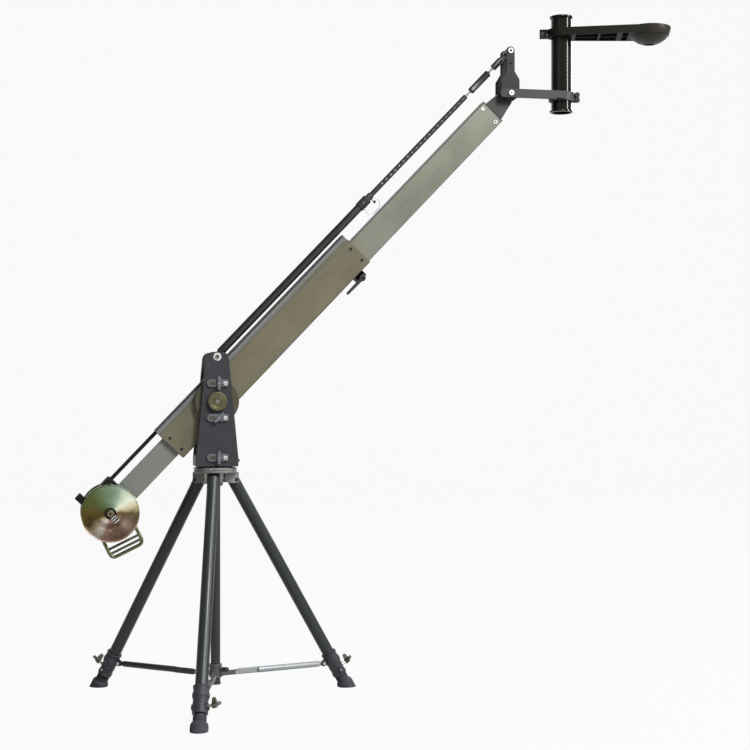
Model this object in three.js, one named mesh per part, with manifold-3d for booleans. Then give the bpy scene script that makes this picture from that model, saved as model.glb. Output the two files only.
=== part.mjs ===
import * as THREE from 'three';
import { mergeVertices } from 'three/addons/utils/BufferGeometryUtils.js';
import Module from 'manifold-3d';

// A camera jib crane on a tripod, in millimetres.
// +Z is up, +X points along the boom to the camera end, and the origin is on the floor under the pan axis.

// Stance, in degrees
const boomElevation = 46.3;
const frontLegAzimuth = -101.5;
const legSpacing = 120;
const cameraArmSwivel = -16;
const handleSwing = 26;

// Clearances
const seatGap = 0.3;
const slideGap = 0.5;
const turnGap = 0.4;
const cutOverrun = 2;
const edgeChamfer = 2;
const weldTolerance = 1e-4;

// Facets round a circle, by how large the circle is
const fineFacets = 8;
const midFacets = 12;
const wideFacets = 20;
const discFacets = 30;
const arcFacets = 3;
const hexagonSides = 6;

// Tripod
const crown = {
  radius: 78.5,
  flangeRise: 45,
  flangeThickness: 20,
  hubRadius: 26,
  hubDrop: 22,
  lugThickness: 10,
  lugInner: 20,
  lugOuter: 84,
  lugDrop: 12,
  pinRadius: 5,
  pinHeadRadius: 8,
  pinHeadLength: 4,
};
const leg = {
  tubeRadius: 22.25,
  wall: 3,
  hingeRadius: 70,
  hingeHeight: 800,
  topRise: 8,
  footRadius: 545,
  collarLead: 22,
  collarLength: 46,
  collarWall: 4.5,
  collarLip: 2,
  collarLipLength: 5,
  clampLength: 52,
  clampRadius: 25.5,
  clampBandLength: 6,
  clampBandRise: 1.6,
  lugOffset: 38,
  lugPlate: 4,
  lugRadius: 10,
  lugPinRadius: 3.5,
  lowerRadius: 18.8,
  lowerWall: 2.5,
  lowerEngaged: 380,
};
const legNames = ['front', 'right', 'left'];
const knobTurns = { front: 70, right: 0, left: 0 };
const foot = {
  neckRadius: 23,
  padRadius: 31,
  shoulder: 5,
  neckLength: 18,
  padLength: 34,
  boreDepth: 12,
};
const wingKnob = {
  stemRadius: 4.5,
  stemLength: 26,
  hubRadius: 9,
  hubLength: 15,
  wingReach: 24,
  wingThickness: 8,
  wingSpread: 34,
  wingTip: 4,
};
const spreader = {
  height: 96,
  earRadius: 80,
  earThickness: 6,
  earHalfHeight: 9,
  pinHeadRadius: 6,
  pinHeadLength: 4,
  armRadius: 11,
  tangThickness: 6,
  tangLength: 90,
  tangHalfHeight: 8,
  outerTangLength: 34,
  plugLength: 14,
  hubWall: 3.6,
  hubBottomDrop: 14,
  hubTopRise: 36,
  hubFlareLength: 8,
  knobRadius: 9,
  knobLength: 24,
  knobStemRadius: 4,
  knobStemLength: 8,
  knobTurn: 62,
};
const column = {
  radius: 17.5,
  wall: 2.5,
  bottom: 58,
  capRadius: 19.5,
  capHeight: 9,
};

// Pan head and yoke
const yoke = {
  pivotRise: 234.5,
  linkPinRise: 160,
  innerHalf: 56,
  plate: 12,
  topAbovePin: 17.5,
  topHalf: 40,
  baseHalf: 76,
  straightHeight: 30,
  cornerRadius: 18,
  edgeBevel: 1.2,
  pivotBore: 15.5,
  pinRadius: 6,
};
const panBase = {
  bearingHeight: 5,
  bearingRadius: 62,
  blockHeight: 39,
  blockHalfLength: 76,
  spigotRadius: 20,
  spigotDrop: 30,
};
const latch = {
  halfLength: 38,
  halfHeight: 14,
  thickness: 5,
  pocketHalf: 12,
  pocketHeight: 7,
  pocketDepth: 2.5,
  pocketX: -18,
  boltX: 28,
  boltRadius: 6,
  boltHeight: 5,
  spindleX: 5,
  spindleRadius: 7,
  wingLength: 46,
  wingWidth: 9,
  wingThickness: 9,
  tabLength: 14,
  tabHeight: 12,
  tabThickness: 4,
  middleTurn: 45,
};
const latchRiseShares = { upper: 1.275, middle: 0.746, lower: 0.1365 };
const latchTurns = { upper: 0, middle: latch.middleTurn, lower: 0 };
const tiltDisc = {
  radius: 80,
  rimBevel: 2,
  trunnionRadius: 15,
  knobRadius: 34,
  knobThickness: 13,
  knobSkirt: 3,
  knobRecess: 11,
  knobRecessDepth: 3,
  capRadius: 24,
  capThickness: 8,
};
const brake = {
  radius: 9,
  length: 12,
  stemRadius: 4,
  tipRadius: 3,
};

// Boom, along local x from the pivot
const boomLength = 1592;
const tipReach = 92;
const sleeve = {
  rear: -229,
  front: 762,
  height: 110,
  width: 70,
  wall: 4,
  endCap: 10,
  railHeight: 37,
  railWidth: 48,
  railWall: 3,
};
const frontTube = {
  height: 101,
  width: 61,
  wall: 3,
  rearEnd: 520,
  frontEnd: boomLength - tipReach,
  capThickness: 6,
  collarGrow: 1.4,
};
const tip = {
  halfWidth: 25,
  baseTop: 37,
  baseBottom: -44,
  eyeRadius: 28,
  neckTop: 33,
  bossRadius: 20,
  bolt: 6,
  plugDepth: 60,
  neckBack: 48,
  eyeFromTurn: -120,
  eyeToTurn: 70,
};
const rearTube = {
  height: 80,
  width: 44,
  wall: 3,
  rise: 5,
  frontEnd: 60,
  rearEnd: -520,
};
const trimRod = {
  radius: 7,
  rise: 78,
  frontEnd: -120,
};
const ballast = {
  front: -457,
  back: -598,
  top: 92,
  bottom: -46,
  halfWidth: 44,
  postFront: -571,
  postTop: 124,
  postHalf: 20,
  axis: -549,
  barRadius: 12.5,
  discRadius: 102.5,
  discThickness: 25,
  discBore: 13,
  discDish: 60,
  discDishDepth: 3,
  discEdge: 3,
  hubRadius: 21,
  hubThickness: 6,
  barProud: 4,
  clipLength: 34,
  clipWidth: 20,
  clipThickness: 5,
  clipGroove: 2.4,
};
const clipGrooveShares = [0.54, 0.69, 0.83];
const handle = {
  rod: 5.5,
  rungRod: 4.2,
  halfWidth: 58,
  reach: 143.5,
  cornerRadius: 18,
  rungStep: 17,
  rungs: 2,
  eyeRadius: 20,
  eyeThickness: 11.6,
  eyeBridge: 46,
  steps: 26,
};
const sleeveClamp = {
  rear: 656,
  front: 724,
  bottom: -92,
  halfWidth: 26,
  slot: 3,
  screwX: 697,
  screwRadius: 4,
  screwZ: -75,
  leverBoss: 14.5,
  leverBossLength: 20,
  leverReach: 78,
  leverRoot: 7,
  leverTip: 4.5,
  leverThickness: 8,
  washer: 3,
};

// How far the link's ends stop short of the head's bolt
const linkShort = {
  rod: 235,
  nut: 208,
  nutLength: 100,
  rodEnd: 82,
  neck: 34,
};

// Levelling link, along local x from its yoke pin
const link = {
  tubeRadius: 15,
  tubeWall: 2,
  tubeStart: 24,
  collarStart: 768,
  collarEnd: 814,
  collarRadius: 18,
  neckEnd: 834,
  neckRadius: 13,
  eyeRadius: 15,
  eyeHalf: 12,
  pinRadius: 6,
  rodRadius: 9.5,
  rodStart: 395,
  rodEnd: boomLength - linkShort.rod,
  holeRadius: 3.8,
  holePitch: 23.6,
  holeMargin: 14,
  holesShown: 20,
  studRadius: 3.5,
  nutStart: boomLength - linkShort.nut,
  nutEnd: boomLength - linkShort.nut + linkShort.nutLength,
  studEngaged: 24,
  nutRadius: 11.5,
  rodEndStart: boomLength - linkShort.rodEnd,
  rodEndNeck: boomLength - linkShort.neck,
  rodEndRadius: 9.2,
  rodEndStem: 7,
  rodEyeRadius: 13,
  rodEyeHalf: 9,
};
const plunger = {
  at: 825,
  shankRadius: 4,
  gripRadius: 5,
  gripLength: 9,
  stickOut: 9,
};
const lanyard = {
  radius: 0.9,
  sides: 8,
  anchorAt: 779,
  anchorRadius: 3,
  anchorLength: 5,
  seat: 5,
  steps: 40,
};
const lanyardRoute = [
  [779, 0, -21.2],
  [778.6, 1, -27],
  [777.6, 8, -33],
  [777.4, 18, -36.4],
  [779.2, 26.8, -40.2],
  [785, 29.6, -48],
  [794, 30, -54],
  [806, 30, -56.1],
  [820, 30, -56.1],
  [832, 29.8, -53.4],
  [841, 28.6, -46.5],
  [845.4, 24, -38.5],
  [845.8, 14, -33.5],
  [843.5, 5, -29.8],
  [838.5, 0.6, -27.4],
  [830.3, 0, -27],
];

// Camera head, from the head pivot
const headPlate = {
  inner: 36,
  thickness: 8,
  neckHalf: 16,
  neckBottom: 84,
  shoulder: 53,
  bodyHalf: 35,
  bodyBottom: -8,
  footHalf: 12,
  footBottom: -26,
  holeHeight: 111,
  holeRadius: 3.6,
  holeDepth: 3,
  edgeBevel: 0.8,
};
const headBolt = {
  radius: 6,
  headRadius: 10.5,
  headThickness: 4,
  socket: 3.4,
  spacerRadius: 11,
};
const lowerArm = {
  rear: -39,
  halfHeight: 16.5,
  bar: 10,
  riserX: 212.5,
  ringWall: 10,
  earLength: 20,
  earHalf: 11,
  earSlot: 3,
  nutRadius: 9.6,
  nutRise: 10,
  nutThickness: 7,
};
const riser = {
  radius: 38.5,
  wall: 3,
  bottom: -58,
  top: 306,
  flangeRadius: 44.5,
  flangeThickness: 8,
  flangeBevel: 1.5,
};
const cameraArm = {
  height: 30,
  centre: 241,
  rootHalf: 52,
  endHalf: 60,
  wall: 5,
  topPlate: 5,
  midRib: 6,
  bowlX: 330,
  domeRadius: 81.5,
  domeDepth: 63,
  domeWall: 6,
  earReach: 82,
  earHalf: 17,
  earSlot: 3,
  knobX: -73,
  knobDrop: 7,
  knobRadius: 9,
  knobLength: 14,
  knobStem: 4,
  bridge: 14,
};
const crossRibs = [
  { share: 0.45, width: 7 },
  { share: 0.84, width: 20 },
];
const bowl = {
  innerBall: 50,
  wall: 6,
  flangeRadius: 80,
  rimRise: 3,
  holeRadius: 19,
};
const domeTurns = [0, 18, 36, 54, 72, 90];
const seatTurns = [0, 22, 44];

const toRadians = THREE.MathUtils.degToRad;
const fullTurn = 2 * Math.PI;
const quarterTurn = Math.PI / 2;

const wasm = await Module();
wasm.setup();

// Solids

function weld(geometry) {
  const bare = geometry.clone();
  for (const name of Object.keys(bare.attributes)) {
    if (name !== 'position') bare.deleteAttribute(name);
  }
  const merged = mergeVertices(bare, weldTolerance);
  const index = merged.index.array;
  const kept = [];
  for (let i = 0; i < index.length; i += 3) {
    const [a, b, c] = [index[i], index[i + 1], index[i + 2]];
    if (a !== b && b !== c && c !== a) kept.push(a, b, c);
  }
  merged.setIndex(kept);
  if (signedVolume(merged) < 0) {
    for (let i = 0; i < kept.length; i += 3) [kept[i], kept[i + 1]] = [kept[i + 1], kept[i]];
    merged.setIndex(kept);
  }
  return merged;
}

function signedVolume(geometry) {
  const position = geometry.attributes.position;
  const index = geometry.index.array;
  const [a, b, c] = [new THREE.Vector3(), new THREE.Vector3(), new THREE.Vector3()];
  let volume = 0;
  for (let i = 0; i < index.length; i += 3) {
    a.fromBufferAttribute(position, index[i]);
    b.fromBufferAttribute(position, index[i + 1]);
    c.fromBufferAttribute(position, index[i + 2]);
    volume += a.dot(b.cross(c)) / 6;
  }
  return volume;
}

function toManifold(geometry) {
  const welded = weld(geometry);
  return new wasm.Manifold(new wasm.Mesh({
    numProp: 3,
    vertProperties: new Float32Array(welded.attributes.position.array),
    triVerts: new Uint32Array(welded.index.array),
  }));
}

function fromManifold(solid) {
  const mesh = solid.getMesh();
  const geometry = new THREE.BufferGeometry();
  geometry.setAttribute('position', new THREE.BufferAttribute(new Float32Array(mesh.vertProperties), 3));
  geometry.setIndex(Array.from(mesh.triVerts));
  return geometry;
}

function join(first, ...others) {
  return fromManifold(others.reduce((whole, next) => whole.add(toManifold(next)), toManifold(first)));
}

function cut(first, ...tools) {
  return fromManifold(tools.reduce((whole, next) => whole.subtract(toManifold(next)), toManifold(first)));
}

// Geometry made along a named axis: 'x', 'y' or 'z'

function alongAxis(geometry, axis) {
  if (axis === 'x') geometry.rotateZ(-quarterTurn);
  if (axis === 'z') geometry.rotateX(quarterTurn);
  return geometry;
}

function placed(geometry, x = 0, y = 0, z = 0) {
  geometry.translate(x, y, z);
  return geometry;
}

function rod(axis, radius, from, to, facets = midFacets) {
  const geometry = alongAxis(new THREE.CylinderGeometry(radius, radius, Math.abs(to - from), facets), axis);
  const middle = (from + to) / 2;
  return placed(geometry, axis === 'x' ? middle : 0, axis === 'y' ? middle : 0, axis === 'z' ? middle : 0);
}

// A tool for a round hole whose flats, not its corners, lie at the radius
function drill(axis, radius, from, to, facets = fineFacets) {
  return rod(axis, radius / Math.cos(Math.PI / facets), from, to, facets);
}

function pipe(axis, radius, inner, from, to, facets = midFacets) {
  const low = Math.min(from, to);
  const high = Math.max(from, to);
  const profile = [[inner, low], [radius, low], [radius, high], [inner, high], [inner, low]];
  return turned(axis, profile, facets);
}

function turned(axis, profile, facets = midFacets) {
  const points = profile.map(([radius, along]) => new THREE.Vector2(radius, along));
  return alongAxis(new THREE.LatheGeometry(points, facets), axis);
}

function block(x, y, z) {
  const geometry = new THREE.BoxGeometry(x[1] - x[0], y[1] - y[0], z[1] - z[0]);
  return placed(geometry, (x[0] + x[1]) / 2, (y[0] + y[1]) / 2, (z[0] + z[1]) / 2);
}

// A flat outline given in x and z, as thick as from one y to the other
function plateXZ(shape, from, to, bevel = 0) {
  const geometry = extruded(shape, to - from, bevel);
  geometry.rotateX(quarterTurn);
  return placed(geometry, 0, to, 0);
}

// A flat outline given in x and y, as thick as from one z to the other
function plateXY(shape, from, to, bevel = 0) {
  return placed(extruded(shape, to - from, bevel), 0, 0, from);
}

function extruded(shape, depth, bevel) {
  const geometry = new THREE.ExtrudeGeometry(shape, {
    depth: depth - 2 * bevel,
    bevelEnabled: bevel > 0,
    bevelSize: bevel,
    bevelThickness: bevel,
    bevelOffset: -bevel,
    bevelSegments: 1,
    curveSegments: arcFacets,
  });
  return placed(geometry, 0, 0, bevel);
}

function outline(points) {
  return new THREE.Shape(points.map(([a, b]) => new THREE.Vector2(a, b)));
}

function stadium(halfLength, halfHeight) {
  const shape = new THREE.Shape();
  const flat = halfLength - halfHeight;
  shape.moveTo(-flat, -halfHeight);
  shape.lineTo(flat, -halfHeight);
  shape.absarc(flat, 0, halfHeight, -quarterTurn, quarterTurn);
  shape.lineTo(-flat, halfHeight);
  shape.absarc(-flat, 0, halfHeight, quarterTurn, 3 * quarterTurn);
  return shape;
}

// A rectangular tube along x, open at both ends
function boxTube(from, to, width, height, wall, rise = 0) {
  const halfWidth = width / 2;
  const halfHeight = height / 2;
  return cut(
    block([from, to], [-halfWidth, halfWidth], [rise - halfHeight, rise + halfHeight]),
    block(
      [from - cutOverrun, to + cutOverrun],
      [wall - halfWidth, halfWidth - wall],
      [rise + wall - halfHeight, rise + halfHeight - wall],
    ),
  );
}

// A bent rod that follows a path, with flat ends
function bentRod(path, radius, sides, steps) {
  const section = new THREE.Shape();
  section.absarc(0, 0, radius, 0, fullTurn);
  const geometry = new THREE.ExtrudeGeometry(section, {
    steps,
    bevelEnabled: false,
    curveSegments: sides / 2,
    extrudePath: path,
  });
  return geometry;
}

// Materials

const finishes = {
  darkCasting: new THREE.MeshStandardMaterial({ color: 0x5b5e60, roughness: 0.55, metalness: 0.6 }),
  paleCasting: new THREE.MeshStandardMaterial({ color: 0x8c8f8c, roughness: 0.5, metalness: 0.6 }),
  yokeCoat: new THREE.MeshStandardMaterial({ color: 0x3c3f47, roughness: 0.5, metalness: 0.35 }),
  legCoat: new THREE.MeshStandardMaterial({ color: 0x45484c, roughness: 0.38, metalness: 0.55 }),
  bronzeAnodised: new THREE.MeshStandardMaterial({ color: 0x6e6b58, roughness: 0.42, metalness: 0.6 }),
  paleAnodised: new THREE.MeshStandardMaterial({ color: 0x8b8b7d, roughness: 0.42, metalness: 0.6 }),
  greyAnodised: new THREE.MeshStandardMaterial({ color: 0x80827c, roughness: 0.45, metalness: 0.6 }),
  blackAnodised: new THREE.MeshStandardMaterial({ color: 0x1d1c1a, roughness: 0.28, metalness: 0.5 }),
  greyPaint: new THREE.MeshStandardMaterial({ color: 0x5d5d5d, roughness: 0.5, metalness: 0.3 }),
  blackPlastic: new THREE.MeshStandardMaterial({ color: 0x242424, roughness: 0.55, metalness: 0.0 }),
  blackRubber: new THREE.MeshStandardMaterial({ color: 0x1f1f20, roughness: 0.8, metalness: 0.0 }),
  steel: new THREE.MeshStandardMaterial({ color: 0xb9bab6, roughness: 0.3, metalness: 0.9 }),
  zincPlate: new THREE.MeshStandardMaterial({ color: 0xa8946a, roughness: 0.25, metalness: 0.9 }),
  oliveZinc: new THREE.MeshStandardMaterial({ color: 0x77793f, roughness: 0.35, metalness: 0.8 }),
};

function piece(parent, name, geometry, finish) {
  const mesh = new THREE.Mesh(weld(geometry), finishes[finish].clone());
  mesh.name = name;
  parent.add(mesh);
  return mesh;
}

function group(parent, x = 0, y = 0, z = 0) {
  const made = new THREE.Group();
  made.position.set(x, y, z);
  parent.add(made);
  return made;
}

// Tripod

const crownTop = leg.hingeHeight + crown.flangeRise;
const crownHubBottom = leg.hingeHeight - crown.hubDrop;
const yokeBottom = crownTop + panBase.bearingHeight;
const pivotHeight = yokeBottom + yoke.pivotRise;
const linkPinHeight = pivotHeight + yoke.linkPinRise;
const legSplay = Math.atan2(leg.footRadius - leg.hingeRadius, leg.hingeHeight);
const legLength = leg.hingeHeight / Math.cos(legSplay);
const slotHalf = leg.tubeRadius + turnGap;
const lugRise = leg.lugOffset * Math.sin(legSplay);
const lugPinAlong = (leg.hingeHeight - spreader.height - lugRise) / Math.cos(legSplay);
const lugPinRadius = leg.hingeRadius + lugPinAlong * Math.sin(legSplay) - leg.lugOffset * Math.cos(legSplay);
const armLength = lugPinRadius - spreader.earRadius;
const collarTop = lugPinAlong - leg.collarLead;
const clampTop = collarTop + leg.collarLength;
const clampBottom = clampTop + leg.clampLength;
const columnTop = crownTop - panBase.spigotDrop - seatGap;

function crownSolid() {
  const flangeBottom = crownTop - crown.flangeThickness;
  const hubBore = column.radius + seatGap;
  let solid = join(
    turned('z', [
      [0, flangeBottom],
      [crown.radius - edgeChamfer, flangeBottom],
      [crown.radius, flangeBottom + edgeChamfer],
      [crown.radius, crownTop - edgeChamfer],
      [crown.radius - edgeChamfer, crownTop],
      [0, crownTop],
    ], discFacets),
    rod('z', crown.hubRadius, crownHubBottom, flangeBottom + seatGap, midFacets),
  );
  const legPair = [-1, 1].map((side) => {
    const near = side * slotHalf;
    const far = side * (slotHalf + crown.lugThickness);
    const top = flangeBottom + seatGap;
    return block(
      [crown.lugInner, crown.lugOuter],
      [Math.min(near, far), Math.max(near, far)],
      [leg.hingeHeight - crown.lugDrop, top],
    );
  });
  for (let i = 0; i < legNames.length; i += 1) {
    const azimuth = toRadians(frontLegAzimuth + i * legSpacing);
    for (const part of [...legPair, legPin()]) solid = join(solid, part.clone().rotateZ(azimuth));
  }
  return cut(
    solid,
    drill('z', hubBore, crownHubBottom - cutOverrun, columnTop + seatGap, midFacets),
    drill(
      'z',
      panBase.spigotRadius + turnGap,
      crownTop - panBase.spigotDrop,
      crownTop + cutOverrun,
      midFacets,
    ),
  );
}

function legPin() {
  const reach = slotHalf + crown.lugThickness;
  const end = reach + crown.pinHeadLength;
  const pin = join(
    rod('y', crown.pinRadius, -reach, reach, fineFacets),
    rod('y', crown.pinHeadRadius, reach - seatGap, end, fineFacets),
    rod('y', crown.pinHeadRadius, -end, seatGap - reach, fineFacets),
  );
  return placed(pin, leg.hingeRadius, 0, leg.hingeHeight);
}

// The column's tube with a closed foot a little wider than itself
function columnSolid() {
  const top = columnTop;
  const bottom = column.bottom;
  const shoulder = bottom + column.capHeight;
  const inner = column.radius - column.wall;
  return turned('z', [
    [0, bottom],
    [column.capRadius - edgeChamfer, bottom],
    [column.capRadius, bottom + edgeChamfer],
    [column.capRadius, shoulder],
    [column.radius, shoulder],
    [column.radius, top],
    [inner, top],
    [inner, shoulder],
    [0, shoulder],
  ]);
}

function legTube() {
  const tube = pipe(
    'z',
    leg.tubeRadius,
    leg.tubeRadius - leg.wall,
    -(clampTop + leg.clampBandLength),
    leg.topRise,
    midFacets,
  );
  const acrossPin = drill(
    'y',
    crown.pinRadius + turnGap,
    -leg.tubeRadius - cutOverrun,
    leg.tubeRadius + cutOverrun,
  );
  return cut(tube, acrossPin);
}

// The collar that carries the spreader arm's lug, with the clamp for the lower leg under it
function legClamp(knobTurn) {
  const bore = leg.tubeRadius + seatGap;
  const outer = bore + leg.collarWall;
  const lowerBore = leg.lowerRadius + slideGap;
  const tubeEnd = clampTop + leg.clampBandLength + seatGap;
  const body = turned('z', [
    [bore, -collarTop],
    [bore, -tubeEnd],
    [lowerBore, -tubeEnd],
    [lowerBore, -clampBottom],
    [leg.clampRadius + leg.clampBandRise, -clampBottom],
    [leg.clampRadius + leg.clampBandRise, -clampBottom + leg.clampBandLength],
    [leg.clampRadius, -clampBottom + leg.clampBandLength],
    [leg.clampRadius, -clampTop - leg.clampBandLength],
    [outer, -clampTop - leg.clampBandLength],
    [outer, -collarTop - leg.collarLipLength],
    [outer + leg.collarLip, -collarTop - leg.collarLipLength],
    [outer + leg.collarLip, -collarTop],
    [bore, -collarTop],
  ]);
  const tangHalf = spreader.tangThickness / 2 + seatGap;
  const lugs = [-1, 1].map((side) => {
    const near = side * tangHalf;
    const far = side * (tangHalf + leg.lugPlate);
    const shape = new THREE.Shape();
    shape.moveTo(-bore, -lugPinAlong + leg.lugRadius);
    shape.lineTo(-bore, -lugPinAlong - leg.lugRadius);
    shape.lineTo(-leg.lugOffset, -lugPinAlong - leg.lugRadius);
    shape.absarc(-leg.lugOffset, -lugPinAlong, leg.lugRadius, -quarterTurn, -3 * quarterTurn, true);
    return plateXZ(shape, Math.min(near, far), Math.max(near, far));
  });
  const lugPin = placed(
    rod('y', leg.lugPinRadius, -tangHalf - leg.lugPlate, tangHalf + leg.lugPlate, fineFacets),
    -leg.lugOffset,
    0,
    -lugPinAlong,
  );
  const stemAlong = (clampTop + clampBottom) / 2;
  const bossHole = drill('x', wingKnob.stemRadius + turnGap, leg.lowerRadius, leg.clampRadius + cutOverrun);
  placed(bossHole, 0, 0, -stemAlong);
  bossHole.rotateZ(toRadians(knobTurn));
  const solid = cut(join(body, ...lugs), bossHole);
  return join(cut(solid, rod('z', bore, -collarTop - leg.collarLength, -collarTop + cutOverrun)), lugPin);
}

function lowerLeg() {
  const end = footTop() - seatGap + foot.boreDepth;
  return pipe(
    'z',
    leg.lowerRadius,
    leg.lowerRadius - leg.lowerWall,
    -end,
    -(clampTop - leg.lowerEngaged),
    midFacets,
  );
}

function footTop() {
  return legLength - foot.padLength - foot.neckLength;
}

// A rubber boot on the leg's own line, cut flat by the floor
function footSolid() {
  const top = footTop();
  const shoulder = top + foot.neckLength;
  const below = legLength + foot.padRadius;
  const bore = leg.lowerRadius + seatGap;
  const floorEnd = top + foot.boreDepth;
  const boot = turned('z', [
    [0, -below],
    [foot.padRadius, -below],
    [foot.padRadius, -shoulder - foot.shoulder],
    [foot.padRadius - foot.shoulder, -shoulder],
    [foot.neckRadius, -shoulder + foot.shoulder],
    [foot.neckRadius, -top],
    [bore, -top],
    [bore, -floorEnd],
    [0, -floorEnd],
  ]);
  const reach = 2 * foot.padRadius + below - top;
  const floor = block([-reach, reach], [-reach, reach], [-reach, 0]);
  floor.rotateY(legSplay);
  placed(floor, 0, 0, -legLength);
  return cut(boot, floor);
}

// A thumb knob with two wings in a V, its stem along +x from the origin
function wingKnobSolid() {
  const hubStart = wingKnob.stemLength;
  const hubEnd = hubStart + wingKnob.hubLength;
  const half = wingKnob.wingThickness / 2;
  const wings = [-1, 1].map((side) => {
    const shape = outline([
      [hubStart, -half],
      [hubEnd, -half],
      [hubEnd + wingKnob.wingTip, half],
      [hubEnd + wingKnob.wingTip, wingKnob.wingReach - half],
      [hubEnd, wingKnob.wingReach],
      [hubEnd - wingKnob.wingTip, wingKnob.wingReach - half],
      [hubStart + wingKnob.wingTip, wingKnob.hubRadius],
      [hubStart, half],
    ]);
    const wing = plateXZ(shape, -half, half);
    wing.rotateX(side * (quarterTurn - toRadians(wingKnob.wingSpread)));
    return wing;
  });
  return join(
    rod('x', wingKnob.stemRadius, 0, hubStart + seatGap, fineFacets),
    rod('x', wingKnob.hubRadius, hubStart, hubEnd, fineFacets),
    ...wings,
  );
}

// A round bar with a flat tang at each end: the long one lies beside a hub ear,
// the short one between the collar's lugs
function spreaderArm() {
  const innerPin = 0;
  const outerPin = armLength;
  const tubeStart = innerPin + spreader.tangLength;
  const tubeEnd = outerPin - spreader.outerTangLength;
  const half = spreader.tangHalfHeight;
  const innerTang = plateXZ(
    tangShape(innerPin, tubeStart + spreader.plugLength, half),
    seatGap,
    seatGap + spreader.tangThickness,
  );
  const outerTang = plateXZ(
    tangShape(outerPin, tubeEnd - spreader.plugLength, half),
    -spreader.tangThickness / 2,
    spreader.tangThickness / 2,
  );
  const tube = rod('x', spreader.armRadius, tubeStart, tubeEnd, fineFacets);
  const outerHole = placed(
    drill('y', leg.lugPinRadius + turnGap, -spreader.tangThickness, spreader.tangThickness),
    outerPin,
  );
  return cut(join(tube, innerTang, outerTang), outerHole);
}

function tangShape(pinX, otherX, half) {
  const shape = new THREE.Shape();
  const away = Math.sign(otherX - pinX);
  shape.moveTo(otherX, away * half);
  shape.lineTo(pinX, away * half);
  shape.absarc(pinX, 0, half, away * quarterTurn, away * quarterTurn + Math.PI);
  shape.lineTo(otherX, -away * half);
  return shape;
}

// A thin sleeve on the column with three ears, each with its pin head on the side away from the arm
function spreaderHub() {
  const inner = column.radius + slideGap;
  const outer = inner + spreader.hubWall;
  const bottom = spreader.height - spreader.hubBottomDrop;
  const top = spreader.height + spreader.hubTopRise;
  let solid = turned('z', [
    [inner, bottom],
    [outer, bottom],
    [outer, top - spreader.hubFlareLength],
    [outer, top],
    [inner, top],
    [inner, bottom],
  ]);
  const earRoot = (inner + outer) / 2;
  const ear = plateXZ(
    tangShape(spreader.earRadius, earRoot, spreader.earHalfHeight),
    -seatGap - spreader.earThickness,
    -seatGap,
  );
  const pinHead = placed(
    rod(
      'y',
      spreader.pinHeadRadius,
      -seatGap - spreader.earThickness - spreader.pinHeadLength,
      -spreader.earThickness,
      fineFacets,
    ),
    spreader.earRadius,
  );
  const arm = placed(join(ear, pinHead), 0, 0, spreader.height);
  for (let i = 0; i < legNames.length; i += 1) {
    solid = join(solid, arm.clone().rotateZ(toRadians(frontLegAzimuth + i * legSpacing)));
  }
  const hole = drill('x', spreader.knobStemRadius + turnGap, inner - seatGap, outer + cutOverrun);
  placed(hole, 0, 0, spreader.height + spreader.hubTopRise / 2);
  return cut(solid, hole.rotateZ(toRadians(frontLegAzimuth + spreader.knobTurn)));
}

function hubKnob() {
  const inner = column.radius + slideGap;
  const outer = inner + spreader.hubWall;
  const knobStart = outer + spreader.knobStemLength;
  return join(
    rod('x', spreader.knobStemRadius, inner, knobStart + seatGap, fineFacets),
    rod('x', spreader.knobRadius, knobStart, knobStart + spreader.knobLength, fineFacets),
  );
}

function buildTripod(root) {
  piece(root, 'crown', crownSolid(), 'darkCasting');
  piece(root, 'centre_column', columnSolid(), 'legCoat');
  piece(root, 'spreader_hub', spreaderHub(), 'darkCasting');
  const knobAt = group(root, 0, 0, spreader.height + spreader.hubTopRise / 2);
  knobAt.rotation.z = toRadians(frontLegAzimuth + spreader.knobTurn);
  piece(knobAt, 'hub_knob', hubKnob(), 'blackPlastic');
  legNames.forEach((name, i) => {
    const spoke = group(root);
    spoke.rotation.z = toRadians(frontLegAzimuth + i * legSpacing);
    const down = group(spoke, leg.hingeRadius, 0, leg.hingeHeight);
    down.rotation.y = -legSplay;
    piece(down, `leg_tube_${name}`, legTube(), 'legCoat');
    piece(down, `leg_clamp_${name}`, legClamp(knobTurns[name]), 'darkCasting');
    piece(down, `lower_leg_${name}`, lowerLeg(), 'legCoat');
    piece(down, `foot_${name}`, footSolid(), 'blackRubber');
    const knobRing = group(down, 0, 0, -(clampTop + clampBottom) / 2);
    knobRing.rotation.z = toRadians(knobTurns[name]);
    const knobPlace = group(knobRing, leg.lowerRadius + slideGap, 0, 0);
    piece(knobPlace, `leg_knob_${name}`, wingKnobSolid(), 'blackPlastic');
    const armPlace = group(spoke, spreader.earRadius, 0, spreader.height);
    piece(armPlace, `spreader_arm_${name}`, spreaderArm(), 'steel');
  });
}

// Pan head and yoke

const yokeTop = linkPinHeight + yoke.topAbovePin;
const yokeOuter = yoke.innerHalf + yoke.plate;

function yokePlateShape() {
  const shape = new THREE.Shape();
  const taperFrom = yokeBottom + yoke.straightHeight;
  const corner = yoke.cornerRadius;
  shape.moveTo(-yoke.baseHalf, yokeBottom);
  shape.lineTo(yoke.baseHalf, yokeBottom);
  shape.lineTo(yoke.baseHalf, taperFrom);
  shape.lineTo(yoke.topHalf, yokeTop - corner);
  shape.absarc(yoke.topHalf - corner, yokeTop - corner, corner, 0, quarterTurn);
  shape.lineTo(corner - yoke.topHalf, yokeTop);
  shape.absarc(corner - yoke.topHalf, yokeTop - corner, corner, quarterTurn, 2 * quarterTurn);
  shape.lineTo(-yoke.baseHalf, taperFrom);
  return shape;
}

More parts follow.
